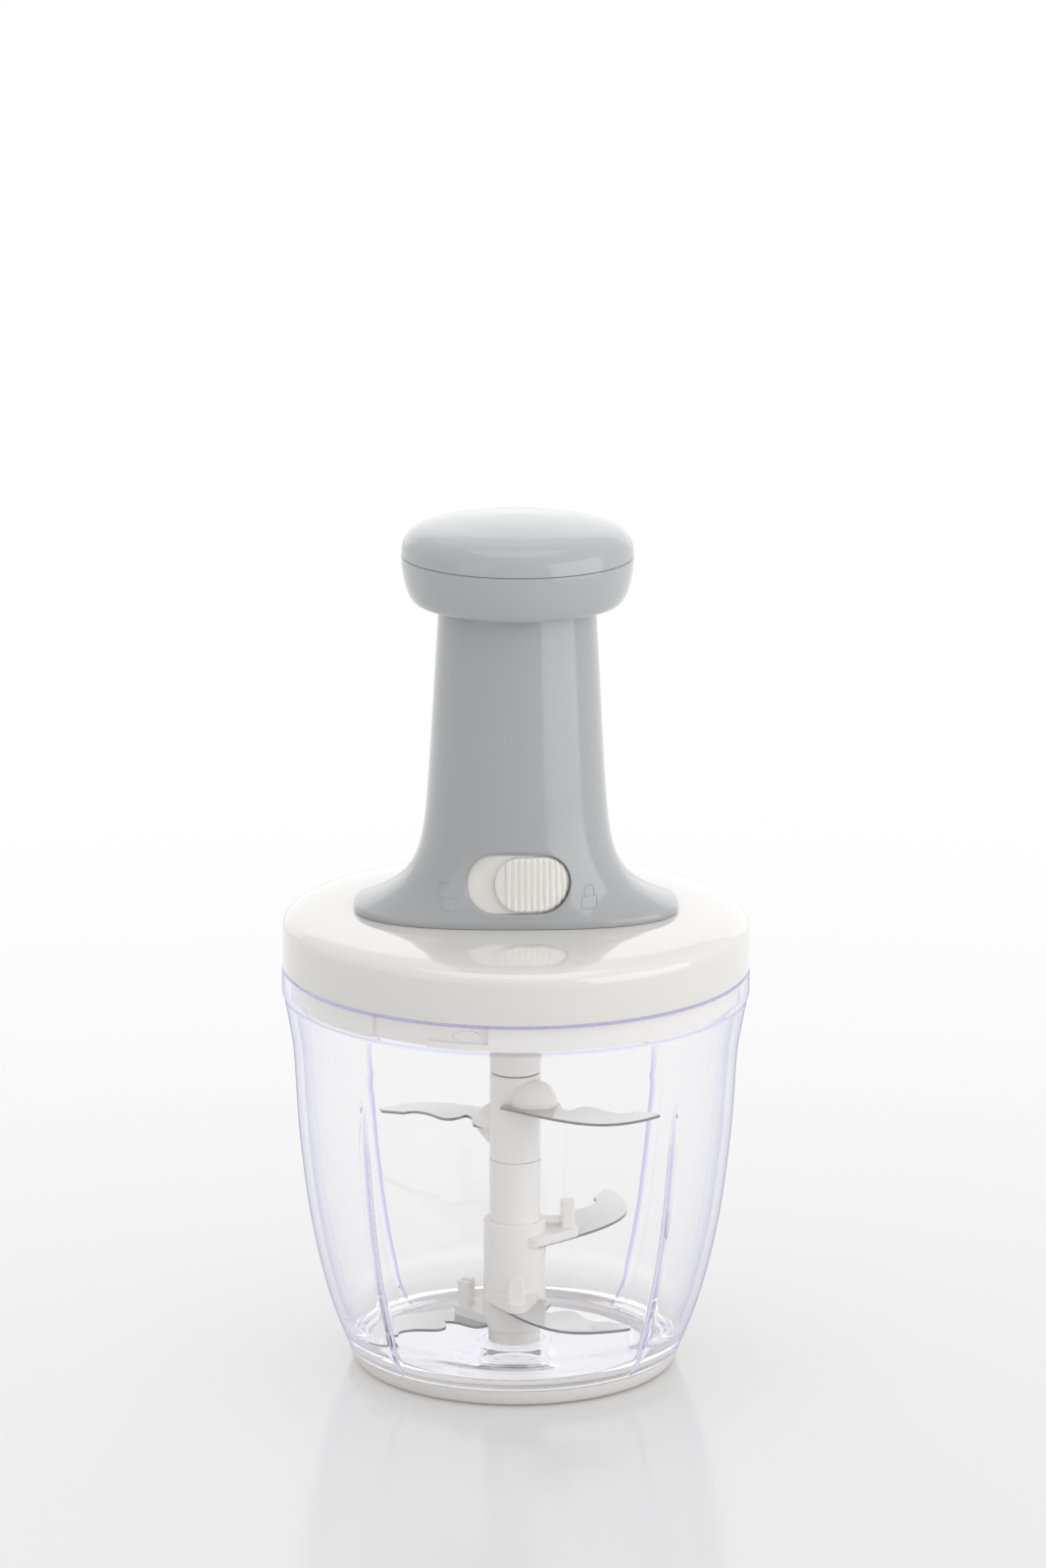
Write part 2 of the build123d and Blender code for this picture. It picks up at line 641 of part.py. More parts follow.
# ---------------------------------------------------------------- one-way drive
# Driven teeth stand upright against the push stroke and slope away behind it.
driven_teeth = ratchet_ring(lambda pitch: [
    (-pitch / 2, ratchet_base), (pitch / 2, ratchet_base), (pitch / 2, ratchet_base + 0.1),
    (-0.42 * pitch, ratchet_base + tooth_height), (-pitch / 2, ratchet_base + tooth_height)])
driver_base = ratchet_base + tooth_height + 0.2
driver_teeth = ratchet_ring(lambda pitch: [
    (pitch / 2 - tooth_gap, driver_base + 0.3), (pitch / 2 - tooth_gap, ratchet_base + 0.5),
    (0.38 * pitch, ratchet_base + 0.5), (-0.38 * pitch, driver_base), (-0.38 * pitch, driver_base + 0.3)])

with BuildPart() as ratchet_driver:
    with BuildSketch(Plane.XY.offset(driver_base)):
        Circle(ratchet_radius)
    extrude(amount=2.6)
    add(driver_teeth)
    with BuildSketch(Plane.XY.offset(driver_base + 2.6)):
        Circle(shaft_radius - 0.05)
    extrude(amount=132.9 - driver_base - 2.6)
    with BuildSketch(Plane.XY.offset(122.3)):
        Circle(2.95)
    extrude(amount=12, mode=Mode.SUBTRACT)
    with BuildSketch(Plane.YZ.offset(-6)):
        with Locations((0, pin_z)):
            Circle(0.8)
    extrude(amount=12, mode=Mode.SUBTRACT)
save(ratchet_driver.part, "ratchet_driver")

shaft_square = 5.4
with BuildPart() as ratchet_follower:
    with BuildSketch(Plane.XY.offset(bearing_top + 0.62)):
        Circle(ratchet_radius)
    extrude(amount=ratchet_base - bearing_top - 0.62)
    add(driven_teeth)
    with BuildSketch(Plane.XY.offset(bearing_top)):
        Rectangle(shaft_square + 0.1, shaft_square + 0.1)
    extrude(amount=5, mode=Mode.SUBTRACT)
save(ratchet_follower.part, "ratchet_follower")
save(screws([(0, 0)], ratchet_base + 0.02, 1.1, 7.0, up=False), "follower_screw")

# Socket that hangs below the inner lid and drives the blade column by its hexagon.
with BuildPart() as drive_socket:
    with BuildSketch(Plane.XZ):
        with BuildLine():
            Polyline((0, 84.0), (column_radius - 0.4, 84.0), (column_radius, 84.4), (column_radius, 102.6),
                     (column_radius - 0.8, 103.4), (shaft_radius, 103.4), (shaft_radius, bearing_top + 0.6),
                     (0, bearing_top + 0.6), close=True)
        make_face()
    revolve(axis=Axis.Z)
    with BuildSketch(Plane.XY.offset(bearing_top + 0.6)):
        Rectangle(shaft_square, shaft_square)
    extrude(amount=ratchet_base - bearing_top - 0.65)
    with BuildSketch(Plane.XY.offset(84.0)):
        RegularPolygon(hex_flats / 2 + 0.15, 6, major_radius=False)
    extrude(amount=14.0, mode=Mode.SUBTRACT)
    with BuildSketch(Plane.XY.offset(ratchet_base - 7.5)):
        Circle(screw_hole_radius)
    extrude(amount=8.0, mode=Mode.SUBTRACT)
save(drive_socket.part, "drive_socket")

# ---------------------------------------------------------------- blade column
post_place = around_axis(post_radius, post_angle)[:2]
low_stakes = [post_place, (0.6, -11.0)]
dome_place = (5.0, -5.5)
top_stakes = [(6.6, -8.2), (1.8, -9.6)]


def stamped_blade(turn, height, rise, hub, stakes):
    """Scimitar blade with a smooth leading edge and a scalloped trailing edge."""
    with BuildPart() as blade:
        with BuildSketch(blade_plane(turn, height, rise)):
            with BuildLine():
                lead = Spline((-4.4, -8.9), (4.4, -16.6), (14.0, -23.4), (24.4, -26.3), (32.0, -23.7), (39.4, -17.8))
                Polyline(lead @ 1, (38.6, -15.8), (32.0, -14.6))
                Spline((32.0, -14.6), (29.6, -16.0), (27.0, -15.3), (23.5, -12.4), (20.6, -9.6), (18.4, -9.5),
                       (16.8, -10.6), (14.6, -13.2))
                Spline((14.6, -13.2), (13.0, -11.2), (12.4, -7.4), (11.4, -3.4), (7.6, -2.4), (5.0, -1.0))
                Polyline((5.0, -1.0), (-3.0, -4.0), lead @ 0)
            make_face()
            with Locations(*stakes):
                Circle(stake_radius, mode=Mode.SUBTRACT)
        extrude(amount=blade_thickness)
        with BuildSketch(Plane.XY):
            Circle(hub + 0.1)
        extrude(amount=rim_top, mode=Mode.SUBTRACT)
    return blade.part


def lug_post(turn, height, rise, style):
    """Upright post at the end of a lug: round-topped, notched or plain."""
    angle = turn + post_angle
    lift = post_place[0] * sin(radians(rise)) + blade_thickness + pad_thickness
    tangent = (-sin(radians(angle)), cos(radians(angle)), 0)
    outward = (cos(radians(angle)), sin(radians(angle)), 0)
    elevation = Plane(origin=around_axis(post_radius - post_depth, angle, height + lift), x_dir=tangent, z_dir=outward)
    with BuildPart() as post:
        with BuildSketch(Plane(origin=around_axis(post_radius, angle, height + lift - 1.2), x_dir=outward)):
            RectangleRounded(post_depth, post_width, 0.9)
        extrude(amount=post_height + 1.2)
        if style == "round":
            with BuildSketch(elevation):
                with Locations((0, post_height - post_width / 2 - 0.2)):
                    Circle(post_width / 2 + 0.15)
                with Locations((0, (post_height - post_width / 2 - 2) / 2)):
                    Rectangle(post_width + 0.4, post_height - post_width / 2 + 1.5)
            extrude(amount=2 * post_depth, mode=Mode.INTERSECT)
        if style == "notched":
            with BuildSketch(elevation):
                with Locations((0.4, post_height - 0.4)):
                    SlotOverall(4.4, 1.5, rotation=90)
            extrude(amount=2 * post_depth, mode=Mode.SUBTRACT)
        if style == "plain":
            # upper bar that ties the post to the hub
            with BuildSketch(elevation.offset(column_radius - post_radius + post_depth)):
                with Locations((0, 1.9)):
                    Rectangle(2.2, 1.3)
            extrude(amount=post_radius - column_radius)
    return post.part


# Lower column: hub with three lugs that hold the blades down on their stakes.
post_styles = {"blade_low_front": "round", "blade_low_back": "notched", "blade_middle": "plain"}
posts = [lug_post(*place, post_styles[name]) for name, place in low_blades.items()]
with BuildPart() as blade_mast:
    with BuildSketch(Plane.XZ):
        with BuildLine():
            Polyline((0, 4.7), (7.0, 4.7), (7.4, 5.1), (7.4, hub_bottom), (8.6, hub_bottom), (hub_radius, hub_bottom + 0.4),
                     (hub_radius, hub_top - 0.5), (hub_radius - 0.6, hub_top), (column_radius, hub_top),
                     (column_radius + 0.1, mast_seam - 0.15), (0, mast_seam - 0.15), close=True)
        make_face()
    revolve(axis=Axis.Z)
    with BuildSketch(Plane.XY.offset(mast_seam - 1)):
        RegularPolygon(mast_spigot_radius, 6)
    extrude(amount=mast_spigot_top - mast_seam + 1)
    add(posts)
    for turn, height, rise in low_blades.values():
        seat = blade_plane(turn, height, rise)
        with BuildSketch(seat.offset(blade_thickness)):
            with Locations(post_place):
                Circle(3.3)
            with Locations((-3.0, -6.6)):
                Circle(3.6)
            with Locations((5.6, -5.4)):
                Circle(2.8)
            make_hull()
        extrude(amount=pad_thickness)
        with BuildSketch(seat.offset(0.05)):
            with Locations(*low_stakes):
                Circle(stake_radius - 0.05)
        extrude(amount=1.2)
    # clearance bore on the bowl's spigot
    with BuildSketch(Plane.XZ):
        with BuildLine():
            Polyline((0, 4), (spigot_radius + running_gap, 4), (spigot_radius + running_gap, spigot_top),
                     (0, spigot_top + 1.6), close=True)
        make_face()
    revolve(axis=Axis.Z, mode=Mode.SUBTRACT)
save(blade_mast.part, "blade_mast")

# Upper column: collar on the mast's spigot, with two domed lugs and the drive hexagon.
with BuildPart() as blade_collar:
    with BuildSketch(Plane.XY.offset(mast_seam)):
        Circle(column_radius)
    extrude(amount=collar_top - mast_seam)
    chamfer(blade_collar.edges().group_by(Axis.Z)[-1], 0.4)
    with BuildSketch(Plane.XY.offset(collar_top)):
        RegularPolygon(hex_flats / 2, 6, major_radius=False)
    extrude(amount=drive_head_top - collar_top)
    chamfer(blade_collar.edges().group_by(Axis.Z)[-1], 1.0)
    for turn, height, rise in top_blades.values():
        seat = blade_plane(turn, height, rise)
        with Locations(seat.offset(blade_thickness)):
            with Locations(dome_place):
                Sphere(dome_radius, arc_size1=0, arc_size2=90, align=(Align.CENTER, Align.CENTER, Align.MIN))
        with BuildSketch(seat.offset(0.05)):
            with Locations(*top_stakes):
                Circle(stake_radius - 0.05)
        extrude(amount=1.2)
    # gusset under the root of the back blade
    back_turn, back_height, back_rise = top_blades["blade_top_back"]
    gusset = radians(back_turn - 26)
    with BuildSketch(Plane(origin=(0, 0, 0), x_dir=(cos(gusset), sin(gusset), 0), z_dir=(sin(gusset), -cos(gusset), 0))):
        with BuildLine():
            Polyline((column_radius - 1.5, back_height - 5.2), (column_radius, back_height - 5.2),
                     (column_radius + 4.4, back_height - 0.9), (column_radius + 4.4, back_height),
                     (column_radius - 1.5, back_height), close=True)
        make_face()
    extrude(amount=0.9, both=True)
    with BuildSketch(Plane.XY.offset(mast_seam)):
        RegularPolygon(mast_spigot_radius + running_gap, 6)
    extrude(amount=mast_spigot_top - mast_seam + 0.4, mode=Mode.SUBTRACT)
save(blade_collar.part, "blade_collar")

for name, (turn, height, rise) in low_blades.items():
    save(stamped_blade(turn, height, rise, hub_radius, low_stakes), name)
for name, (turn, height, rise) in top_blades.items():
    save(stamped_blade(turn, height, rise, column_radius, top_stakes), name)
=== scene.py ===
from math import asin, cos, degrees, exp, hypot, pi, radians, sin, tan

import bmesh
import bpy
from mathutils import Matrix, Vector


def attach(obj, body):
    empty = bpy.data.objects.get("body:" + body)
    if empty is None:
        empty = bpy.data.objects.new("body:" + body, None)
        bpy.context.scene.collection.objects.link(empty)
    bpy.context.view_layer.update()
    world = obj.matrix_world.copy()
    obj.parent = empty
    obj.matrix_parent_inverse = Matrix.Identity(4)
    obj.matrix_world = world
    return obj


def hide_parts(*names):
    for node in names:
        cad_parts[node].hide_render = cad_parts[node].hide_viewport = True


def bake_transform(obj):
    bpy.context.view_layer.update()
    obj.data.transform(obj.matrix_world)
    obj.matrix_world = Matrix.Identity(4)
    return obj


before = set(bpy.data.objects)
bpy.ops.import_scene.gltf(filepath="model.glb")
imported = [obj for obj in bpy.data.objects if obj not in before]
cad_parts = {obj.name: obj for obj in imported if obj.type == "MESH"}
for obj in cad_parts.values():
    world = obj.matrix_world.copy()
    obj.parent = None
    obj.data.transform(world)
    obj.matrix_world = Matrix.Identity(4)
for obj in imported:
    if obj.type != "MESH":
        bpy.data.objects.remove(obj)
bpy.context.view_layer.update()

# ---------------------------------------------------------------- clear bowl
# The bowl is injection-moulded in one piece from clear plastic: a thin wall with four chopping ribs
# inside, a straight rim with small bayonet studs, and a spigot in the floor for the blade column.
mm = 0.001


def curve_through(points, steps):
    """Points of a smooth line through a few given points, with so many steps to each stretch."""
    points = [Vector(p) for p in points]
    line = [2 * points[0] - points[1]] + points + [2 * points[-1] - points[-2]]
    out = []
    for before, start, end, after in zip(line, line[1:], line[2:], line[3:]):
        lead, span, rest = ((b - a).length ** 0.5
                            for a, b in ((before, start), (start, end), (end, after)))
        leave = (start - before) / lead - (end - before) / (lead + span) + (end - start) / span
        arrive = (end - start) / span - (after - start) / (span + rest) + (after - end) / rest
        for step in range(steps):
            t = step / steps
            out.append((1 + 2 * t) * (1 - t) ** 2 * start + t * (1 - t) ** 2 * span * leave
                       + t * t * (3 - 2 * t) * end + t * t * (t - 1) * span * arrive)
    return [tuple(p) for p in out] + [tuple(points[-1])]


def softened(corners, steps=4):
    """Points of an outline whose corners (radius, height, rounding) are rounded."""
    out = []
    for i, (x, z, rounding) in enumerate(corners):
        if rounding == 0 or i in (0, len(corners) - 1):
            out.append((x, z))
            continue
        here = Vector((x, z))
        back = Vector(corners[i - 1][:2]) - here
        ahead = Vector(corners[i + 1][:2]) - here
        reach = min(rounding / tan(back.angle(ahead) / 2), back.length * 0.49, ahead.length * 0.49)
        start, end = here + back.normalized() * reach, here + ahead.normalized() * reach
        for step in range(steps + 1):
            t = step / steps
            out.append(tuple((1 - t) ** 2 * start + 2 * t * (1 - t) * here + t**2 * end))
    return out


def skin(name, rows):
    """Mesh over closed rows of points in millimetres; a row of one point closes a pole."""
    shape = bmesh.new()
    grid = [[shape.verts.new(Vector(p) * mm) for p in row] for row in rows]
    for low, high in zip(grid, grid[1:]):
        count = max(len(low), len(high))
        for i in range(count):
            j = (i + 1) % count
            if len(low) == 1:
                corners = (low[0], high[j], high[i])
            elif len(high) == 1:
                corners = (low[i], low[j], high[0])
            else:
                corners = (low[i], low[j], high[j], high[i])
            shape.faces.new(corners)
    mesh = bpy.data.meshes.new(name)
    shape.to_mesh(mesh)
    shape.free()
    piece = bpy.data.objects.new(name, mesh)
    bpy.context.scene.collection.objects.link(piece)
    return piece


def shade(piece, sharp):
    """Shade a piece smooth, with a crease wherever its faces meet at more than an angle."""
    piece.data.shade_smooth()
    piece.data.set_sharp_from_angle(angle=radians(sharp))
    return piece


def tidy(piece, sharp=32):
    """Merge doubles, point the faces outwards and shade the piece."""
    shape = bmesh.new()
    shape.from_mesh(piece.data)
    bmesh.ops.remove_doubles(shape, verts=shape.verts, dist=1e-6)
    bmesh.ops.recalc_face_normals(shape, faces=shape.faces)
    shape.to_mesh(piece.data)
    shape.free()
    return shade(piece, sharp)


def turned(name, profile, turns=192):
    """Piece turned about the axis from (radius, height) points, at even or given angles."""
    if isinstance(turns, int):
        turns = [360 * i / turns for i in range(turns)]
    rows = []
    for radius, height in profile:
        if radius < 1e-6:
            rows.append([(0, 0, height)])
        else:
            rows.append([(radius * cos(radians(a)), radius * sin(radians(a)), height)
                         for a in turns])
    return tidy(skin(name, rows))


floor_under, floor_top = 1.8, 4.2
foot_rebate, foot_radius, foot_level = 43.8, 46.7, 5.0
wall_thickness = 2.4
corner_top = 15
rim_radius, rim_inside, rim_edge, rim_top = 65.0, 62.6, 114.0, 114.7
boss_outside, boss_inside, boss_top = 10.3, 8.5, 5.8
spigot_radius, spigot_height = 3.0, 21.0
bowl_side = [(foot_radius, foot_level), (52.1, 19.6), (57.1, 41.0), (60.4, 67.0), (62.0, 91.5),
             (63.0, 98.0), (64.6, 106.9)]
floor_corner = [(37.5, 4.2), (41.6, 5.1), (45.2, 8.2), (47.6, 12.4)]
bowl_outer = curve_through(bowl_side, 10)
bowl_inner = []
for before, here, after in zip(bowl_outer, bowl_outer[1:], bowl_outer[2:]):
    if here[1] > corner_top:
        lean = (after[0] - before[0]) / (after[1] - before[1])
        bowl_inner.append((min(here[0] - wall_thickness * hypot(1, lean), rim_inside), here[1]))
bowl_shape = softened([(0, floor_under, 0), (foot_rebate, floor_under, 0.3),
                       (foot_rebate, foot_level, 0.2), (foot_radius, foot_level, 0)])
bowl_shape += bowl_outer[1:]
bowl_shape += [(64.9, 107.2), (rim_radius, 107.5), (rim_radius, 107.8), (rim_radius, 110.8)]
bowl_shape += softened([(rim_radius, rim_edge, 0), (rim_radius, rim_top, 0.5),
                        (rim_inside, rim_top, 0.5), (rim_inside, rim_edge, 0)])
bowl_shape += [(rim_inside, rim_edge - 0.4 * k) for k in range(1, 14)]
bowl_shape += bowl_inner[::-1]
bowl_shape += curve_through([bowl_inner[0]] + floor_corner[::-1], 5)[1:]
bowl_shape += softened([(10.8, floor_top, 0), (boss_outside, 4.4, 0.1),
                        (boss_outside, boss_top, 0.3), (boss_inside, boss_top, 0.3),
                        (boss_inside, floor_top, 0.1), (3.2, floor_top, 0.1),
                        (spigot_radius, 5.0, 0)])
for k in range(8):
    a = radians(11.25 * k)
    bowl_shape.append((spigot_radius * cos(a), spigot_height + spigot_radius * sin(a)))
bowl_shape.append((0, spigot_height + spigot_radius))

# The mesh is finer round the four ribs and the three studs than elsewhere.
rib_count, stud_count = 4, 3
first_rib, first_stud = 45, -103.3
rib_turns = [first_rib + 90 * n + 0.16 * k for n in range(rib_count) for k in range(-8, 9)]
stud_turns = [(first_stud + 120 * n + 0.46 * k) % 360
              for n in range(stud_count) for k in range(-10, 11)]
bowl_turns = sorted([2.0 * k for k in range(180)] + rib_turns + stud_turns)
bowl_turns = [b for a, b in zip([-1] + bowl_turns, bowl_turns) if b - a > 0.1]
bowl = turned("bowl_clear", bowl_shape, bowl_turns)


class Value:
    """One socket of a node tree; arithmetic on it adds Math nodes."""

    def __init__(self, bench, socket):
        self.bench = bench
        self.socket = socket

    def __add__(self, other):
        return self.bench.calc("ADD", self, other)

    def __radd__(self, other):
        return self.bench.calc("ADD", other, self)

    def __sub__(self, other):
        return self.bench.calc("SUBTRACT", self, other)

    def __rsub__(self, other):
        return self.bench.calc("SUBTRACT", other, self)

    def __mul__(self, other):
        return self.bench.calc("MULTIPLY", self, other)

    def __rmul__(self, other):
        return self.bench.calc("MULTIPLY", other, self)

    def __truediv__(self, other):
        return self.bench.calc("DIVIDE", self, other)

    def __rtruediv__(self, other):
        return self.bench.calc("DIVIDE", other, self)

    def __pow__(self, other):
        return self.bench.calc("POWER", self, other)

    def __gt__(self, other):
        return self.bench.calc("GREATER_THAN", self, other)

    def __lt__(self, other):
        return self.bench.calc("LESS_THAN", self, other)

    def __abs__(self):
        return self.bench.calc("ABSOLUTE", self)


class Bench:
    """A node tree that gets its nodes one at a time."""

    def __init__(self, tree):
        self.tree = tree

    def add(self, kind, settings=None, inputs=None, out=0):
        """A node of one type: settings first, then the values or links of its sockets."""
        node = self.tree.nodes.new(kind)
        for key, value in (settings or {}).items():
            setattr(node, key, value)
        for key, value in (inputs or {}).items():
            self.feed(node.inputs[key], value)
        return Value(self, node.outputs[out])

    def feed(self, socket, value):
        """Link a value to a socket, or store a number, a colour or a material on it."""
        if isinstance(value, Value):
            self.tree.links.new(value.socket, socket)
        elif socket.type == "RGBA":
            socket.default_value = (*value, 1.0)
        else:
            socket.default_value = value

    def calc(self, operation, *terms, clamp=False):
        """A Math node on numbers and values, kept between 0 and 1 if it is clamped."""
        settings = {"operation": operation, "use_clamp": clamp}
        return self.add("ShaderNodeMath", settings, dict(enumerate(terms)))

    def axes(self, vector):
        """The three numbers of a vector."""
        node = self.add("ShaderNodeSeparateXYZ", inputs={0: vector}).socket.node
        return [Value(self, socket) for socket in node.outputs]

    def along(self, vector, direction):
        """How far a vector reaches along a direction."""
        settings = {"operation": "DOT_PRODUCT"}
        return self.add("ShaderNodeVectorMath", settings, {0: vector, 1: direction}, out="Value")

    def scaled(self, vector, amount):
        """A vector made longer or shorter by an amount."""
        settings = {"operation": "SCALE"}
        return self.add("ShaderNodeVectorMath", settings, {0: vector, "Scale": amount})


class Finish(Bench):
    """A material with a Principled shader; uniform values are set straight on its sockets."""

    def __init__(self, name, **sockets):
        self.material = bpy.data.materials.new(name)
        self.material.use_nodes = True
        super().__init__(self.material.node_tree)
        self.shader = self.tree.nodes["Principled BSDF"]
        self.plain = Value(self, self.shader.outputs[0])
        for socket, value in sockets.items():
            self.set(socket.replace("_", " "), value)

    def set(self, name, value):
        """Give one of the shader's sockets a number, a colour or a link."""
        self.feed(self.shader.inputs[name], value)

    def noise(self, size, detail=2.0, stretch=(1, 1, 1)):
        """Noise from 0 to 1 with features of the given size in millimetres."""
        place = self.add("ShaderNodeMapping", inputs={
            "Vector": self.add("ShaderNodeTexCoord", out="Object"), "Scale": stretch})
        return self.add("ShaderNodeTexNoise", inputs={
            "Vector": place, "Scale": 1 / (size * mm), "Detail": detail})

    def mix(self, amount, first, second):
        """Colour between two colours by an amount from 0 to 1."""
        node = self.tree.nodes.new("ShaderNodeMix")
        node.data_type = "RGBA"
        factor = [socket for socket in node.inputs if socket.type == "VALUE"][0]
        ends = [socket for socket in node.inputs if socket.type == "RGBA"]
        for socket, value in zip((factor, *ends), (amount, first, second)):
            self.feed(socket, value)
        return Value(self, [socket for socket in node.outputs if socket.type == "RGBA"][0])

    def blend(self, amount, first, second):
        """Shader between two shaders by an amount from 0 to 1."""
        return self.add("ShaderNodeMixShader", inputs={0: amount, 1: first, 2: second})

    def bump(self, height, strength, distance):
        """Surface relief from a height, in millimetres at full strength."""
        inputs = {"Strength": strength, "Distance": distance * mm, "Height": height}
        self.set("Normal", self.add("ShaderNodeBump", inputs=inputs))

    def show(self, shader):
        """Make the surface show a shader in place of the plain Principled one."""
        self.feed(self.tree.nodes["Material Output"].inputs[0], shader)


nearly_white, lavender, painted_edge_shade = (0.985, 0.985, 0.99), (0.40, 0.37, 0.84), (0.50, 0.49, 0.72)
clear_plastic = Finish("clear_moulded_plastic", IOR=1.46, Transmission_Weight=1.0)
flow = clear_plastic.noise(38.0, 1.0)
edge_on = clear_plastic.add("ShaderNodeLayerWeight", inputs={"Blend": 0.35}, out="Facing")
crest = clear_plastic.add("ShaderNodeAttribute", {"attribute_name": "mould_edge"}, out="Fac")
tint = clear_plastic.calc("ADD", edge_on**4.0 * (0.85 + 0.3 * flow), crest, clamp=True)
clear_plastic.set("Base Color", clear_plastic.mix(tint, nearly_white, lavender))
clear_plastic.set("Roughness", 0.01 + 0.02 * flow)
clear_plastic.bump(clear_plastic.noise(24.0), 0.1, 0.4)

# Where the wall is seen edge-on, painted shade darkens it to a grey line. Light on its way to the
# inside, and light that the wall has thrown about for long, goes straight through.
painted_shade_line = clear_plastic.add("ShaderNodeBsdfTransparent", inputs={"Color": painted_edge_shade})
straight = clear_plastic.add("ShaderNodeBsdfTransparent", inputs={"Color": (0.99, 0.99, 1.0)})
path = {name: clear_plastic.add("ShaderNodeLightPath", out=name)
        for name in ("Is Shadow Ray", "Is Diffuse Ray", "Glossy Depth", "Transmission Depth")}
caught = (path["Glossy Depth"] > 2.5) + (path["Transmission Depth"] > 6.5)
let_through = path["Is Shadow Ray"] + path["Is Diffuse Ray"] + caught
let_through = clear_plastic.calc("MINIMUM", let_through, 1.0)
line = clear_plastic.calc("MULTIPLY", edge_on**6.0, 1.5, clamp=True)
edged = clear_plastic.blend(line, clear_plastic.plain, painted_shade_line)
clear_plastic.show(clear_plastic.blend(let_through, edged, straight))


def settled(piece):
    """Make what a piece's modifiers give its plain mesh, and take them off."""
    drawn = piece.evaluated_get(bpy.context.evaluated_depsgraph_get())
    mesh = bpy.data.meshes.new_from_object(drawn)
    piece.modifiers.clear()
    piece.data = mesh
    return piece


class Pattern(Bench):
    """A Geometry Nodes tree with named sizes, whose result becomes a plain mesh."""

    def __init__(self, name, **sizes):
        tree = bpy.data.node_groups.new(name, "GeometryNodeTree")
        super().__init__(tree)
        for side in ("INPUT", "OUTPUT"):
            tree.interface.new_socket("Geometry", in_out=side, socket_type="NodeSocketGeometry")
        self.sizes = {}
        for title, value in sizes.items():
            socket = tree.interface.new_socket(
                title, in_out="INPUT", socket_type="NodeSocketFloat")
            self.sizes[socket.identifier] = float(value)
        entry = tree.nodes.new("NodeGroupInput")
        self.given = {title: Value(self, entry.outputs[title]) for title in ("Geometry", *sizes)}

    def push(self, geometry, direction, distance):
        """Move a mesh's points along a direction by a distance in millimetres."""
        offset = self.scaled(direction, distance * mm)
        return self.add("GeometryNodeSetPosition", inputs={"Geometry": geometry, "Offset": offset})

    def places(self):
        """Angle in degrees about the chopper's axis, height and radius in millimetres, way out."""
        place = self.add("GeometryNodeInputPosition")
        x, y, z = self.axes(place)
        flat = self.add("ShaderNodeCombineXYZ", inputs={0: x, 1: y})
        outward = self.add("ShaderNodeVectorMath", {"operation": "NORMALIZE"}, {0: flat})
        angle = self.calc("ARCTAN2", y, x) * degrees(1)
        return angle, z / mm, self.along(place, outward) / mm, outward

    def grow(self, piece, geometry, finish):
        """End the tree with its material, and give the piece the plain mesh that it makes."""
        real = self.add("GeometryNodeRealizeInstances", inputs={"Geometry": geometry})
        done = self.add("GeometryNodeSetMaterial", inputs={
            "Geometry": real, "Material": finish.material})
        leave = self.tree.nodes.new("NodeGroupOutput")
        self.tree.links.new(done.socket, leave.inputs[0])
        growth = piece.modifiers.new("growth", "NODES")
        growth.node_group = self.tree
        for identifier, value in self.sizes.items():
            growth[identifier] = value
        return settled(piece)


# Ribs and studs are raised on the inside of the wall, and the plastic is tinted along their edges,
# along the rim and along the line where the rim begins.
relief = Pattern("bowl_relief", Ribs=rib_count, Rib_height=1.15, Rib_half_width=1.15, Rib_top=87,
                 Studs=stud_count, Stud_depth=0.5, Stud_half_width=4.1, Stud_half_height=1.9,
                 Stud_level=111.2, First_stud=first_stud)
toe_level, toe_rise, top_fall, spigot_clear = 4.3, 3, 16, 20.0
rim_line, shoulder_line, line_half_width = 114.3, 107.1, 0.5
size = relief.given
angle, height, radius, outward = relief.places()
facing_in = relief.along(relief.add("GeometryNodeInputNormal"), outward) < -0.3
rib_pitch = 360.0 / size["Ribs"]
beside_rib = abs(relief.calc("FRACT", angle / rib_pitch) - 0.5) * rib_pitch
rib_section = relief.calc("MAXIMUM", 1 - (beside_rib / size["Rib_half_width"]) ** 2.0, 0.0)
top_fade = relief.calc("MULTIPLY", size["Rib_top"] - height, 1 / top_fall, clamp=True)
toe_fade = relief.calc("MULTIPLY", height - toe_level, 1 / toe_rise, clamp=True)
rib = size["Rib_height"] * rib_section * top_fade * toe_fade * (radius > spigot_clear)
stud_pitch = 360.0 / size["Studs"]
beside_stud = relief.calc("FRACT", (angle - size["First_stud"]) / stud_pitch + 0.5) - 0.5
beside_stud = beside_stud * stud_pitch / size["Stud_half_width"]
over_stud = (height - size["Stud_level"]) / size["Stud_half_height"]
inside_oval = 1 - beside_stud * beside_stud - over_stud * over_stud
stud = relief.calc("MULTIPLY", relief.calc("MAXIMUM", inside_oval, 0.0), 3.0, clamp=True)
raised = relief.push(size["Geometry"], relief.scaled(outward, -1.0),
                     facing_in * (rib + size["Stud_depth"] * stud))
rim_lines = (height > rim_line) + 0.5 * (abs(height - shoulder_line) < line_half_width)
mould_edge = facing_in * (rib * 0.85 + stud * (1 - stud) * 2.0) + rim_lines
marked = relief.add("GeometryNodeStoreNamedAttribute", {"data_type": "FLOAT", "domain": "POINT"}, {
    "Geometry": raised, "Name": "mould_edge", "Value": mould_edge})
shade(relief.grow(bowl, marked, clear_plastic), 60)


def fit_out(piece, finish, body, slot, *replaced):
    """Give a finished mesh its material and its body, and hide the parts it stands for; the slot is
    not used.
    """
    piece.data.materials.clear()
    piece.data.materials.append(finish.material)
    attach(piece, body)
    if replaced:
        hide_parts(*replaced)


fit_out(bowl, clear_plastic, "bowl", "clear_bowl", "bowl")

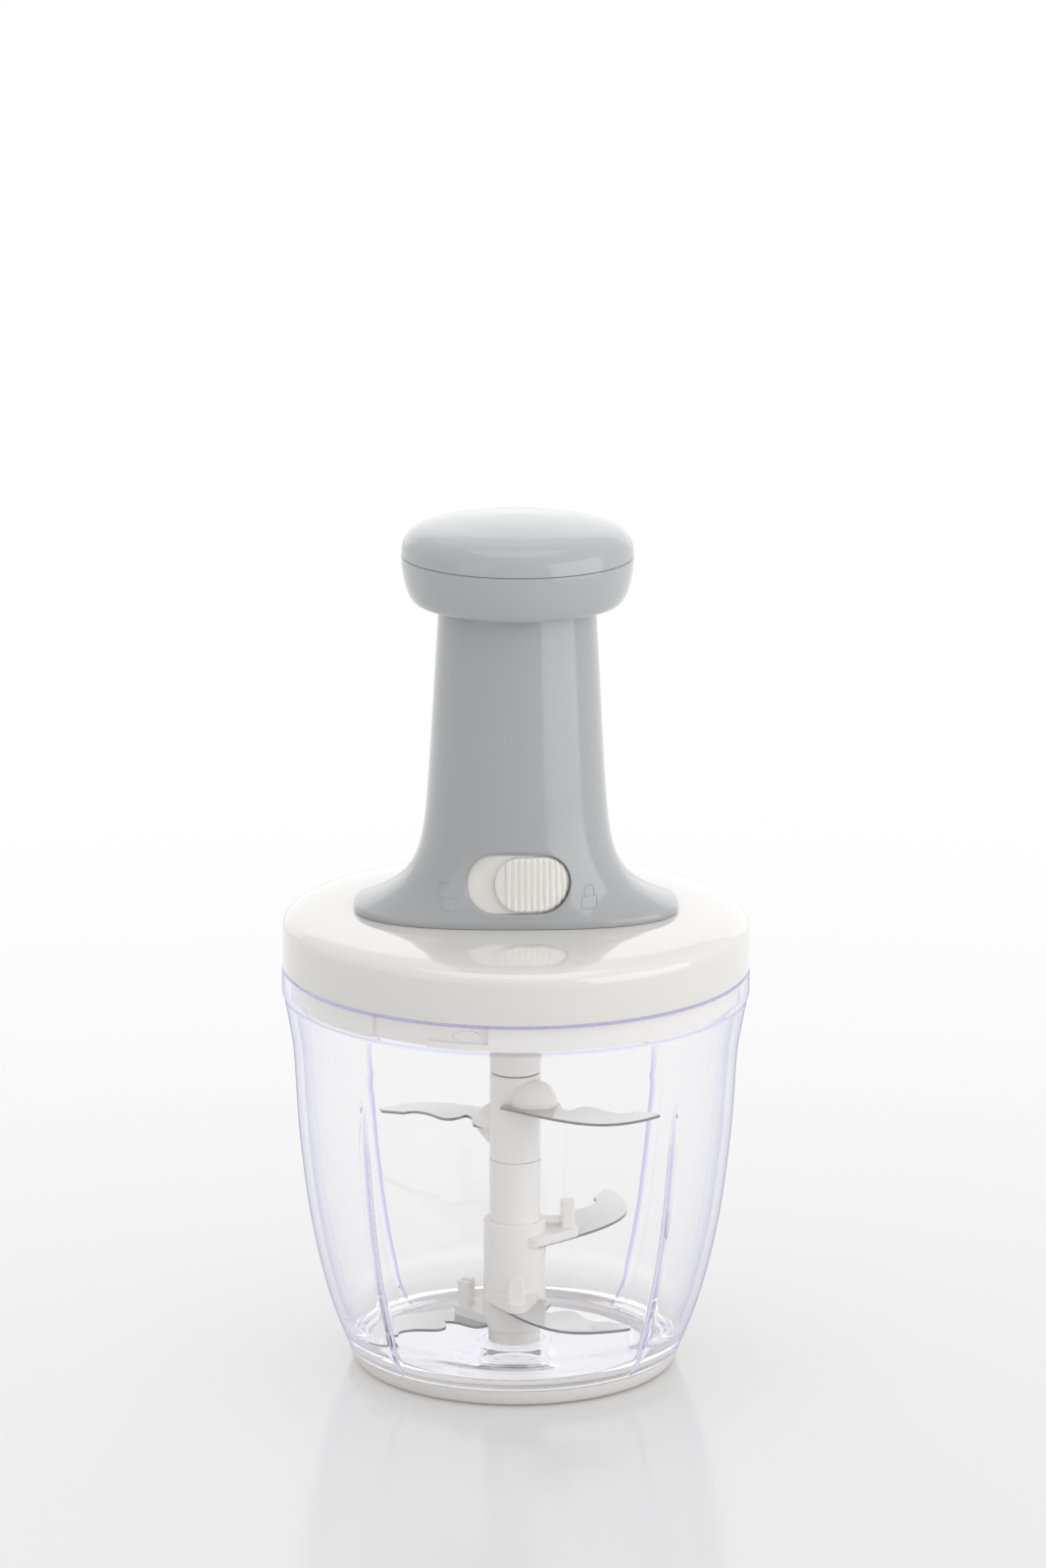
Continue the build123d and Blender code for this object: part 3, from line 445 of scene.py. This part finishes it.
# ---------------------------------------------------------------- base ring
# A soft off-white ring of silicone is stretched over the bowl's foot, so that the chopper doesn't
# slide while the knob is pushed. It has a fine matt texture from its mould. The lid's seal, a thin
# ring between the inner lid and the rim, is of the same silicone.
ring_bore, ring_rebate, ring_shelf = 38.5, 43.9, 1.7
ring_shape = curve_through([(43.2, 0.0), (44.6, 0.7), (45.8, 2.6), (46.7, 4.9)], 6)
ring_shape += softened([(46.65, 4.92, 0), (ring_rebate, 4.92, 0), (ring_rebate, ring_shelf, 0),
                        (ring_bore, ring_shelf, 0.2), (ring_bore, 0.0, 0.4), (43.2, 0.0, 0)])[1:]
soft_silicone = Finish("soft_silicone", Specular_IOR_Level=0.4)
mottle = soft_silicone.noise(9.0, 3.0)
off_white = soft_silicone.mix(mottle, (0.80, 0.775, 0.745), (0.84, 0.815, 0.785))
soft_silicone.set("Base Color", off_white)
soft_silicone.set("Roughness", 0.5 + 0.12 * mottle)
soft_silicone.bump(soft_silicone.noise(0.6), 0.25, 0.05)
fit_out(turned("base_ring_soft", ring_shape), soft_silicone, "bowl", "soft_grip", "base_ring")


def dress(finish, *names):
    """Give parts that keep their own shape a finish."""
    for name in names:
        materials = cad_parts[name].data.materials
        materials.clear()
        materials.append(finish.material)


dress(soft_silicone, "lid_seal")

# ---------------------------------------------------------------- lid
# The outer lid is moulded in warm white plastic and polished. It is gently domed, and meets the rim
# flush on its outside; the tower is screwed to it from below.
deck_level, dome_level, bearing_level = 128.6, 131.0, 126.4
lid_shape = softened([(5.1, bearing_level, 0), (8.6, bearing_level, 0.3), (8.6, deck_level, 0.2),
                      (46.0, deck_level, 2)])
lid_shape += curve_through([(55.0, 127.7), (59.0, 126.4), (61.4, 124.4)], 4)
lid_shape += softened([(62.6, 121.5, 0), (62.6, 117.0, 0.2), (63.3, 117.0, 0.1),
                       (63.3, 115.0, 0.2), (rim_radius, 115.0, 0.35), (rim_radius, 119.0, 0)])
lid_shape += curve_through([(rim_radius, 123.4), (64.9, 126.3), (64.7, 127.36), (64.2, 128.07),
                            (62.8, 129.07), (60.1, 129.87), (55.0, 130.48), (51.6, 130.75),
                            (46.0, dome_level)], 5)
lid_shape += softened([(45.0, dome_level, 0), (5.1, dome_level, 0), (5.1, bearing_level, 0)])


def polished_plastic(name, coat, coat_roughness, clouds, gloss, grain, dark, light):
    """Moulded plastic with faint clouds in its colour and its gloss, and a fine grain.

    The clouds have a size, the gloss a roughness, a spread and the size of its patches, and the
    grain a size, a strength and a depth.
    """
    finish = Finish(name, IOR=1.5, Coat_Weight=coat, Coat_Roughness=coat_roughness)
    finish.set("Base Color", finish.mix(finish.noise(clouds), dark, light))
    roughness, spread, patches = gloss
    finish.set("Roughness", roughness + spread * finish.noise(patches, 3.0))
    fineness, strength, depth = grain
    finish.bump(finish.noise(fineness), strength, depth)
    return finish


white_plastic = polished_plastic(
    "warm_white_plastic", coat=0.8, coat_roughness=0.03, clouds=46.0, gloss=(0.06, 0.05, 14.0),
    grain=(3.0, 0.02, 0.04), dark=(0.765, 0.742, 0.708), light=(0.790, 0.768, 0.734))
fit_out(turned("lid_shell", lid_shape, 256), white_plastic, "lid", "white_plastic", "lid")

# ---------------------------------------------------------------- tower
# The tower is a hollow neck of glossy grey plastic. It tapers upwards to a circle, and below it
# flares out into two wings along the lid. A window with a rounded edge is cut through its front.
tower_top, foot_edge = 217.2, 132.9
neck_radius, side_taper, front_taper = 21.7, 0.0563, 0.034
wing_spread, foot_bulge, flare_height = 18.65, 0.634, 6.3
tower_turns = [2 * pi * i / 288 for i in range(288)]


def tower_section(height, inset=0.0, wall=0.0):
    """Half width, half depth and squareness of the tower, inside it by an inset or a wall."""
    fade = exp(min(foot_edge - height, 0) / flare_height)
    drop = tower_top - max(height, foot_edge)
    slope = side_taper + wing_spread * fade / flare_height
    wide = neck_radius + side_taper * drop + wing_spread * fade - inset - wall * hypot(1, slope)
    deep = neck_radius + front_taper * drop + foot_bulge * fade - inset - wall
    return wide, deep, 2 + 0.6 * fade


def oval_reach(turn, wide, deep, square):
    """Distance from the axis to an oval's edge in one direction."""
    return ((abs(cos(turn)) / wide) ** square + (abs(sin(turn)) / deep) ** square) ** (-1 / square)


def tower_row(height, inset=0.0, wall=0.0, wing_inset=0.0):
    """Points round the tower at a height, inside its outside; the wings may lie further in."""
    wide, deep, square = tower_section(height, inset, wall)
    row = []
    for a in tower_turns:
        reach = oval_reach(a, wide - wing_inset, deep, square)
        row.append((reach * cos(a), reach * sin(a), height))
    return row


def tower_front(x, height):
    """Depth of the tower's front at a place left or right of its middle."""
    wide, deep, square = tower_section(height)
    return -deep * (1 - (abs(x) / wide) ** square) ** (1 / square)


wing_edge, wing_rounding = 132.1, 0.8
neck_start, neck_end, top_rounding = 133.05, 216.5, 0.7
bore, neck_wall, foot_wall, wall_change = 19.0, 2.0, 1.3, 157
tower_rows = [tower_row(dome_level, 0.35), tower_row(131.12, 0.12), tower_row(131.4)]
for k in (0, 20, 40, 58):
    tower_rows.append(tower_row(wing_edge + wing_rounding * sin(radians(k)),
                                wing_inset=wing_rounding * (1 - cos(radians(k)))))
for step in range(64):
    tower_rows.append(tower_row(neck_start + (neck_end - neck_start) * (step / 63) ** 1.7))
for k in (25, 50, 70, 90):
    tower_rows.append(tower_row(neck_end + top_rounding * sin(radians(k)),
                                top_rounding * (1 - cos(radians(k)))))
for radius, height in ((19.3, tower_top), (bore, 216.9), (bore, 210.5), (19.2, 210.4)):
    tower_rows.append([(radius * cos(a), radius * sin(a), height) for a in tower_turns])
for height in (210.3, 190, 170, 158, 156, 153, 150, 146, 143, 140.5, 138, 136, 134.5, 133, 131):
    tower_rows.append(tower_row(height, wall=neck_wall if height > wall_change else foot_wall))
tower_rows.append(tower_rows[0])
tower = tidy(skin("tower_shell", tower_rows), 28)

window_level, window_radius, window_reach = 143.4, 8.1, 6.2
lip_width, lip_depth = 1.2, 0.8
cutter_front, cutter_back = -7.0, 9.0
far_in_front, far_behind = -36, -9
cuts = [(lip_width, cutter_front)]
for k in range(0, 91, 15):
    cuts.append((lip_width * (1 - sin(radians(k))), lip_depth * (1 - cos(radians(k)))))
cuts.append((0.0, cutter_back))
cutter_rows = [[(0, far_in_front, window_level)]]
for wider, depth in cuts:
    row = []
    for step in range(96):
        a = 2 * pi * (step + 0.5) / 96
        middle = window_reach if cos(a) > 0 else -window_reach
        surface = tower_front(middle + window_radius * cos(a),
                              window_level + window_radius * sin(a))
        row.append((middle + (window_radius + wider) * cos(a), surface + depth,
                    window_level + (window_radius + wider) * sin(a)))
    cutter_rows.append(row)
cutter_rows.append([(0, far_behind, window_level)])
cutter = tidy(skin("window_cutter", cutter_rows))
cut = tower.modifiers.new("window", "BOOLEAN")
cut.operation = "DIFFERENCE"
cut.solver = "EXACT"
cut.object = cutter
shade(settled(tower), 28)
bpy.data.objects.remove(cutter)

grey_plastic = polished_plastic(
    "cool_grey_plastic", coat=0.55, coat_roughness=0.03, clouds=52.0, gloss=(0.13, 0.05, 16.0),
    grain=(2.6, 0.02, 0.04), dark=(0.375, 0.383, 0.396), light=(0.395, 0.402, 0.414))
fit_out(tower, grey_plastic, "lid", "grey_plastic", "tower")

# ---------------------------------------------------------------- padlock marks
# Two small padlocks are moulded as thin lines on the tower's foot: open on the left, closed on the
# right of the window. They show which way the slider goes.
case_corners = [(0, -2.0, 0), (2.1, -2.0, 0.35), (2.1, 1.2, 0.35), (-2.1, 1.2, 0.35),
                (-2.1, -2.0, 0.35), (0, -2.0, 0)]
bow_radius, bow_rise, bow_level, case_top = 1.3, 1.4, 2.6, 1.2
mark_points, mark_lines = [], []
for middle, level, lift, shift, free_end in ((-19.0, 138.0, 0.9, -1.5, 2.1),
                                             (19.6, 138.4, 0.0, 0.0, case_top)):
    case = softened(case_corners, 3)[:-1]
    bow = [(bow_radius, free_end)]
    for k in range(0, 181, 20):
        bow.append((bow_radius * cos(radians(k)), bow_level + bow_rise * sin(radians(k))))
    bow = [(x + shift, z + lift) for x, z in bow] + [(shift - bow_radius, case_top)]
    for line in (case + case[:1], bow):
        first = len(mark_points)
        for x, z in line:
            place = (middle + x, tower_front(middle + x, level + z), level + z)
            mark_points.append(Vector(place) * mm)
        mark_lines += [(k, k + 1) for k in range(first, len(mark_points) - 1)]
mark_mesh = bpy.data.meshes.new("lock_marks")
mark_mesh.from_pydata(mark_points, mark_lines, [])
lock_marks = bpy.data.objects.new("lock_marks", mark_mesh)
bpy.context.scene.collection.objects.link(lock_marks)
bead = Pattern("moulded_line", Line_radius=0.16)
round_section = bead.add("GeometryNodeCurvePrimitiveCircle", inputs={
    "Resolution": 8, "Radius": bead.given["Line_radius"] * mm})
route = bead.add("GeometryNodeMeshToCurve", inputs={"Mesh": bead.given["Geometry"]})
marks = bead.add("GeometryNodeCurveToMesh", inputs={
    "Curve": route, "Profile Curve": round_section, "Fill Caps": True})
fit_out(tidy(bead.grow(lock_marks, marks, grey_plastic)), grey_plastic, "lid", "grey_plastic")

# ---------------------------------------------------------------- knob
# The knob is two grey mouldings, a domed cap over a tapered ring, that meet in a thin seam. Four
# screws from below clamp them and the sleeve's flange together. The sleeve below the knob, which
# slides in the tower, is of the tower's grey.
# The knob's grey is a lighter copy of the tower's grey, painted light for the brighter light that
# the knob catches.
knob_grey_painted_lighter = polished_plastic(
    "pale_grey_plastic", coat=0.4, coat_roughness=0.04, clouds=40.0, gloss=(0.13, 0.05, 16.0),
    grain=(2.6, 0.02, 0.04), dark=(0.420, 0.427, 0.438), light=(0.440, 0.446, 0.456))
crown = [(31.95, 231.07), (31.8, 233.1), (31.4, 234.6), (30.35, 236.3), (28.8, 237.6),
         (26.7, 238.45), (22.7, 239.3), (16, 240.1), (8.3, 240.7), (0, 240.9)]
cap_shape = curve_through([(0, 238.7), (12.0, 238.3), (21.0, 237.1), (26.2, 235.2),
                           (28.0, 232.4)], 4)
cap_shape += softened([(28.0, 232.0, 0), (28.0, 229.0, 0.2), (29.5, 229.0, 0.2),
                       (29.5, 231.07, 0.1), (31.95, 231.07, 0.2), (31.95, 231.5, 0)])
cap_shape += curve_through(crown, 6)[3:]
fit_out(turned("knob_dome", cap_shape, 224), knob_grey_painted_lighter, "plunger", "grey_plastic", "knob_cap")

grip_radius, grip_taper, grip_level, grip_drop = 32.04, 4.43, 232.7, 14.7
grip_shape = []
for k in range(90, 7, -4):
    grip_shape.append((grip_radius - grip_taper * (1 - cos(radians(k))),
                       grip_level - grip_drop * sin(radians(k))))
grip_shape += softened([(31.99, 230.6, 0), (31.99, 230.93, 0.2), (29.8, 230.93, 0.1),
                        (29.8, 228.0, 0)])
grip_shape += curve_through([(29.4, 225.6), (28.4, 222.8), (26.4, 220.4)], 4)
grip_shape += softened([(26.0, 220.2, 0), (19.0, 220.2, 0.2), (19.0, 218.0, 0.3),
                        (27.61, 218.0, 0)])
fit_out(turned("knob_grip", grip_shape, 224), knob_grey_painted_lighter, "plunger", "grey_plastic", "knob_ring")
dress(grey_plastic, "plunger_sleeve")

# ---------------------------------------------------------------- lock slider
# The slider is a white plate that runs round the neck just behind the window, with a thumb pad that
# stands out through it. Ten upright ribs are moulded across the pad, and its edge is rounded over.
pad_low, pad_high, pad_left, pad_right, pad_nose = 135.7, 151.1, -6.7, 14.05, 7.0
pad_middle, pad_half = (pad_low + pad_high) / 2, (pad_high - pad_low) / 2
pad_back, nose_depth, pad_rounding, pad_proud = 21.5, 21.4, 0.9, 0.15
front_radius = 24.0
slider_travel = radians(13)


def slide_reach(turn, height, inset):
    """Largest radius that stays an inset inside the tower over the slider's whole travel."""
    oval = tower_section(height, inset)
    return min(oval_reach(turn - slider_travel * k / 4, *oval) for k in range(5))


def slide_place(x, height, inset):
    """Point of the slider's front at a place across it."""
    reach = front_radius
    for _ in range(3):
        reach = slide_reach(-pi / 2 + asin(x / reach), height, inset)
    return (x, -((reach**2 - x**2) ** 0.5), height)


def pad_reach(x):
    """Half height of the thumb pad at a place across it: a half oval, then a half circle."""
    if x < pad_left + pad_nose:
        return pad_half * max(0.0, 1 - ((pad_left + pad_nose - x) / pad_nose) ** 2) ** 0.5
    if x > pad_right - pad_half:
        return max(0.0, pad_half**2 - (x - pad_right + pad_half) ** 2) ** 0.5
    return pad_half


columns = [pad_left + (pad_right - pad_left) * (1 - cos(pi * k / 150)) / 2 for k in range(1, 150)]
pad_edge = [(x, side * pad_reach(x)) for x in columns for side in (-1, 1)]
pad_edge += [(pad_left, 0), (pad_right, 0)]
pad_rows = [[(pad_left, -nose_depth, pad_middle)]]
for x in columns:
    row = []
    for k in range(41):
        z = pad_reach(x) * sin(pi / 2 * (k / 20 - 1))
        to_edge = min(hypot(x - u, z - v) for u, v in pad_edge)
        roll = pad_rounding - (pad_rounding**2 - max(0.0, pad_rounding - to_edge) ** 2) ** 0.5
        row.append(slide_place(x, pad_middle + z, roll - pad_proud))
    for side in (1, -1):
        row.append((x, -((pad_back**2 - x**2) ** 0.5), pad_middle + side * pad_reach(x)))
    pad_rows.append(row)
pad_rows.append([(pad_right, -((pad_back**2 - pad_right**2) ** 0.5), pad_middle)])
pad = tidy(skin("slider_pad", pad_rows))

ribbing = Pattern("thumb_ribs", Ribs=10, Rib_pitch=1.75, Rib_depth=0.45, First_rib=-3.7)
groove_foot, groove_rise = 22.8, 1.2
size = ribbing.given
angle, height, radius, outward = ribbing.places()
across = ((angle + 90) * (front_radius * radians(1)) - size["First_rib"]) / size["Rib_pitch"]
groove = 1 - abs(ribbing.calc("SINE", across * pi)) ** 0.7
on_ribs = (across > -0.02) * (across < size["Ribs"] + 0.02)
on_face = ribbing.calc("MULTIPLY", radius - groove_foot, 1 / groove_rise, clamp=True)
depth = groove * on_ribs * on_face * size["Rib_depth"]
grooved = ribbing.push(size["Geometry"], outward, depth * -1.0)
shade(ribbing.grow(pad, grooved, white_plastic), 50)
fit_out(pad, white_plastic, "slider", "white_plastic")

plate_middle, plate_half = -83.5, 48.5
plate_low, plate_high, plate_back, plate_inset, plate_bevel = 133.7, 153.4, 20.1, 1.35, 0.2
face_low, face_high = plate_low + plate_bevel, plate_high - plate_bevel
plate_rows = []
for k in range(71):
    a = radians(plate_middle - plate_half + 2 * plate_half * k / 70)
    front = []
    for step in range(13):
        z = face_low + (face_high - face_low) * step / 12
        front.append((slide_reach(a, z, plate_inset), z))
    section = [(plate_back, face_high), (plate_back, face_low),
               (plate_back + plate_bevel, plate_low), (front[0][0] - plate_bevel, plate_low)]
    section += front
    section += [(front[-1][0] - plate_bevel, plate_high), (plate_back + plate_bevel, plate_high)]
    plate_rows.append([(r * cos(a), r * sin(a), z) for r, z in section])
first_end, last_end = ([tuple(sum((Vector(p) for p in row), Vector()) / len(row))]
                       for row in (plate_rows[0], plate_rows[-1]))
plate = tidy(skin("slider_plate", [first_end, *plate_rows, last_end]))
fit_out(plate, white_plastic, "slider", "white_plastic", "lock_slider")

# ---------------------------------------------------------------- inner lid and blade column
# The inner lid closes the drive from below and holds the bayonet grooves, the drive socket turns in
# it, and the two halves of the blade column are pushed together. All are glossy white mouldings, as
# is the bracket inside the tower.
# This ivory is brighter than the lid's white as painted light, making up for the shade inside the
# bowl and under the lid.
ivory_plastic = polished_plastic(
    "ivory_plastic", coat=0.2, coat_roughness=0.05, clouds=24.0, gloss=(0.2, 0.08, 9.0),
    grain=(1.6, 0.03, 0.03), dark=(0.90, 0.875, 0.838), light=(0.93, 0.905, 0.87))
dress(ivory_plastic, "inner_lid", "drive_socket", "blade_mast", "blade_collar", "latch_bracket")

# ---------------------------------------------------------------- blades
# Each of the five blades is stamped from stainless sheet, ground along its curve and polished. It
# is held on the column by plastic stakes that are melted over it.
# Painted shade: the steel's colour darkens towards the hub, and the ground edges, which are really
# rougher, are also painted dark grey as shade.
shaded_near_hub, near_tip, ground_and_shaded_grey = (0.54, 0.54, 0.537), (0.86, 0.86, 0.855), (0.30, 0.30, 0.30)
blade_steel = Finish("polished_blade_steel", Metallic=1.0)
grain = blade_steel.noise(1.0, 3.0, (0.4, 3.0, 0.4))
upright = blade_steel.axes(blade_steel.add("ShaderNodeTexCoord", out="Normal"))[2]
ground_and_shaded_edges = 1 - blade_steel.calc("MULTIPLY", abs(upright), 1.4, clamp=True)
x, y = blade_steel.axes(blade_steel.add("ShaderNodeTexCoord", out="Object"))[:2]
towards_tip = blade_steel.add("ShaderNodeMapRange", inputs={
    "Value": (x * x + y * y) ** 0.5, "From Min": 10 * mm, "From Max": 40 * mm,
    "To Min": 0.0, "To Max": 0.8})
hub_shade_and_grain = blade_steel.mix(towards_tip + 0.2 * grain, shaded_near_hub, near_tip)
blade_steel.set("Base Color", blade_steel.mix(ground_and_shaded_edges, hub_shade_and_grain, ground_and_shaded_grey))
blade_steel.set("Roughness", 0.07 + 0.07 * grain + 0.2 * ground_and_shaded_edges)
blade_steel.bump(grain, 0.04, 0.01)
dress(blade_steel, "blade_low_front", "blade_low_back", "blade_middle", "blade_top_front",
      "blade_top_back")

# ---------------------------------------------------------------- return spring
# An open coil of round steel wire stands on the bracket round the spiral rod and pushes the plunger
# up. Nothing fixes it: it is held between the bracket and the knob.
coil_radius, wire_radius, spring_foot, spring_top = 13.0, 0.8, 133.9, 219.2
bright_steel = Finish("bright_steel", Metallic=1.0)
wear = bright_steel.noise(3.0, 4.0)
bright_steel.set("Base Color", bright_steel.mix(wear, (0.50, 0.50, 0.50), (0.62, 0.62, 0.61)))
bright_steel.set("Roughness", 0.2 + 0.15 * wear)
spring = bpy.data.objects.new("return_coil", bpy.data.meshes.new("return_coil"))
bpy.context.scene.collection.objects.link(spring)
winding = Pattern("coil", Turns=9, Coil_radius=coil_radius, Wire_radius=wire_radius,
                  Foot=spring_foot, Rise=spring_top - spring_foot)
size = winding.given
helix = winding.add("GeometryNodeCurveSpiral", inputs={
    "Resolution": 48, "Rotations": size["Turns"], "Start Radius": size["Coil_radius"] * mm,
    "End Radius": size["Coil_radius"] * mm, "Height": size["Rise"] * mm})
raise_by = winding.add("ShaderNodeCombineXYZ", inputs={2: size["Foot"] * mm})
helix = winding.add("GeometryNodeSetPosition", inputs={"Geometry": helix, "Offset": raise_by})
wire = winding.add("GeometryNodeCurvePrimitiveCircle", inputs={
    "Resolution": 12, "Radius": size["Wire_radius"] * mm})
coil = winding.add("GeometryNodeCurveToMesh", inputs={
    "Curve": helix, "Profile Curve": wire, "Fill Caps": True})
tidy(winding.grow(spring, coil, bright_steel))
spring.data.materials.clear()
spring.data.materials.append(bright_steel.material)
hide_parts("return_spring")
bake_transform(spring)

# ---------------------------------------------------------------- drive parts and screws
# The spiral rod is a twisted flat bar, pinned to the upper ratchet disc; rod, pin and screws are of
# the same bright steel as the spring. The nut that the rod turns in, the two ratchet discs and the
# washer under them are moulded in natural nylon, which slides without oil.
dress(bright_steel, "spiral_rod", "rod_pin", "lid_screws", "tower_screws", "bracket_screws",
      "knob_screws", "follower_screw")
natural_nylon = Finish("natural_nylon")
haze = natural_nylon.noise(7.0, 3.0)
natural_nylon.set("Base Color", natural_nylon.mix(haze, (0.70, 0.68, 0.63), (0.76, 0.745, 0.70)))
natural_nylon.set("Roughness", 0.34 + 0.12 * haze)
dress(natural_nylon, "drive_nut", "ratchet_driver", "ratchet_follower", "thrust_washer")

# ---------------------------------------------------------------- studio
# A smooth pale table keeps the chopper's shadow and mirror image, and fades into white further off.
# A white sky lights everything evenly, and four soft boxes give the plastic its broad highlights.
table_half = 12
floor_mesh = bpy.data.meshes.new("table_top")
floor_mesh.from_pydata([(-table_half, -table_half, 0), (table_half, -table_half, 0),
                        (table_half, table_half, 0), (-table_half, table_half, 0)],
                       [], [(0, 1, 2, 3)])
floor = bpy.data.objects.new("table_top", floor_mesh)
bpy.context.scene.collection.objects.link(floor)
table = Finish("pale_table", Base_Color=(0.85, 0.85, 0.85), Roughness=0.13, IOR=1.45)


def seen_directly(bench):
    """1 for rays from the camera, off gloss and through glass, 0 for the light on surfaces."""
    camera_ray, glossy_ray, glass_ray = (bench.add("ShaderNodeLightPath", out=f"Is {kind} Ray")
                                         for kind in ("Camera", "Glossy", "Transmission"))
    return bench.calc("MINIMUM", camera_ray + glossy_ray + glass_ray, 1.0)


# The fade starts in front of the chopper. Inside the base ring a pool of painted light makes the
# table bright, where the bowl and the ring shade it.
fade_centre, fade_start, fade_end = 0.2, 0.02, 0.9
glow_end = 41.0
x, y = table.axes(table.add("ShaderNodeTexCoord", out="Object"))[:2]
from_axis = (x * x + y * y) ** 0.5
from_front = (x * x + (y + fade_centre) * (y + fade_centre)) ** 0.5
far = table.add("ShaderNodeMapRange", {"interpolation_type": "SMOOTHSTEP"}, {
    "Value": from_front, "From Min": fade_start, "From Max": fade_end,
    "To Min": 0.0, "To Max": 1.0})
painted_light_under_bowl = table.add("ShaderNodeMapRange", inputs={
    "Value": from_axis, "From Min": ring_bore * mm, "From Max": glow_end * mm,
    "To Min": 0.8, "To Max": 0.0})
glow = table.add("ShaderNodeEmission", inputs={"Color": (1, 1, 1), "Strength": 1.0})
table.show(table.blend(seen_directly(table) * (far + painted_light_under_bowl), table.plain, glow))
floor.data.materials.append(table.material)

sky_light = 0.79
world = bpy.data.worlds.new("studio")
bpy.context.scene.world = world
world.use_nodes = True
sky = Bench(world.node_tree)
backdrop = world.node_tree.nodes["Background"]
sky.feed(backdrop.inputs["Color"], (1, 1, 1))
sky.feed(backdrop.inputs["Strength"], sky_light + (1 - sky_light) * seen_directly(sky))


def lamp(name, place, aim, width, height, brightness):
    """A soft box at a place, turned to face a point; brightness 1 looks white."""
    light = bpy.data.lights.new(name, "AREA")
    light.shape = "RECTANGLE"
    light.size = width
    light.size_y = height
    light.energy = brightness * pi * width * height
    box = bpy.data.objects.new(name, light)
    box.location = place
    box.rotation_euler = (Vector(aim) - Vector(place)).to_track_quat("-Z", "Y").to_euler()
    box.visible_camera = False
    box.visible_transmission = False
    bpy.context.scene.collection.objects.link(box)
    return box


lamp("overhead_box", (0.0, 0.1, 1.5), (0, 0, 0.1), 1.0, 1.0, 0.75)
lamp("back_box", (0.0, 1.9, 0.62), (0, 0, 0.12), 2.6, 0.9, 0.3)
right_box = lamp("right_box", (0.58, -0.33, 0.32), (0, 0, 0.16), 0.75, 0.6, 1.25)
lamp("left_box", (-0.9, -0.9, 0.5), (0, 0, 0.15), 0.8, 0.8, 0.4)

# The right box is kept off the table and the clear bowl, where it would show as a hard patch.
shaded = bpy.data.collections.new("shaded_from_right_box")
for thing, member in ((floor, 0), (bowl, 1)):
    shaded.objects.link(thing)
    shaded.collection_objects[member].light_linking.link_state = "EXCLUDE"
right_box.light_linking.receiver_collection = shaded

# ---------------------------------------------------------------- camera
# The camera stands 1.8 metres off, a little to the left of the chopper's front, and looks down on
# it by 14 degrees through a long lens.
view_distance, view_height = 1.8, 0.618
view_turn, view_drop, view_roll = radians(-1.5), 0.246, radians(0.24)
off_centre, picture_height = 6.5, 1600
camera = bpy.data.cameras.new("camera")
camera.lens = 154.1
camera.sensor_width = 36.0
camera.shift_x = off_centre / picture_height
camera.clip_end = 50
viewer = bpy.data.objects.new("camera", camera)
viewer.location = (view_distance * sin(view_turn), -view_distance * cos(view_turn), view_height)
aimed = Matrix.Rotation(view_turn, 3, "Z") @ Matrix.Rotation(pi / 2 - view_drop, 3, "X")
viewer.rotation_euler = (aimed @ Matrix.Rotation(view_roll, 3, "Z")).to_euler()
bpy.context.scene.collection.objects.link(viewer)
bpy.context.scene.camera = viewer
bpy.context.scene.view_settings.view_transform = "Standard"
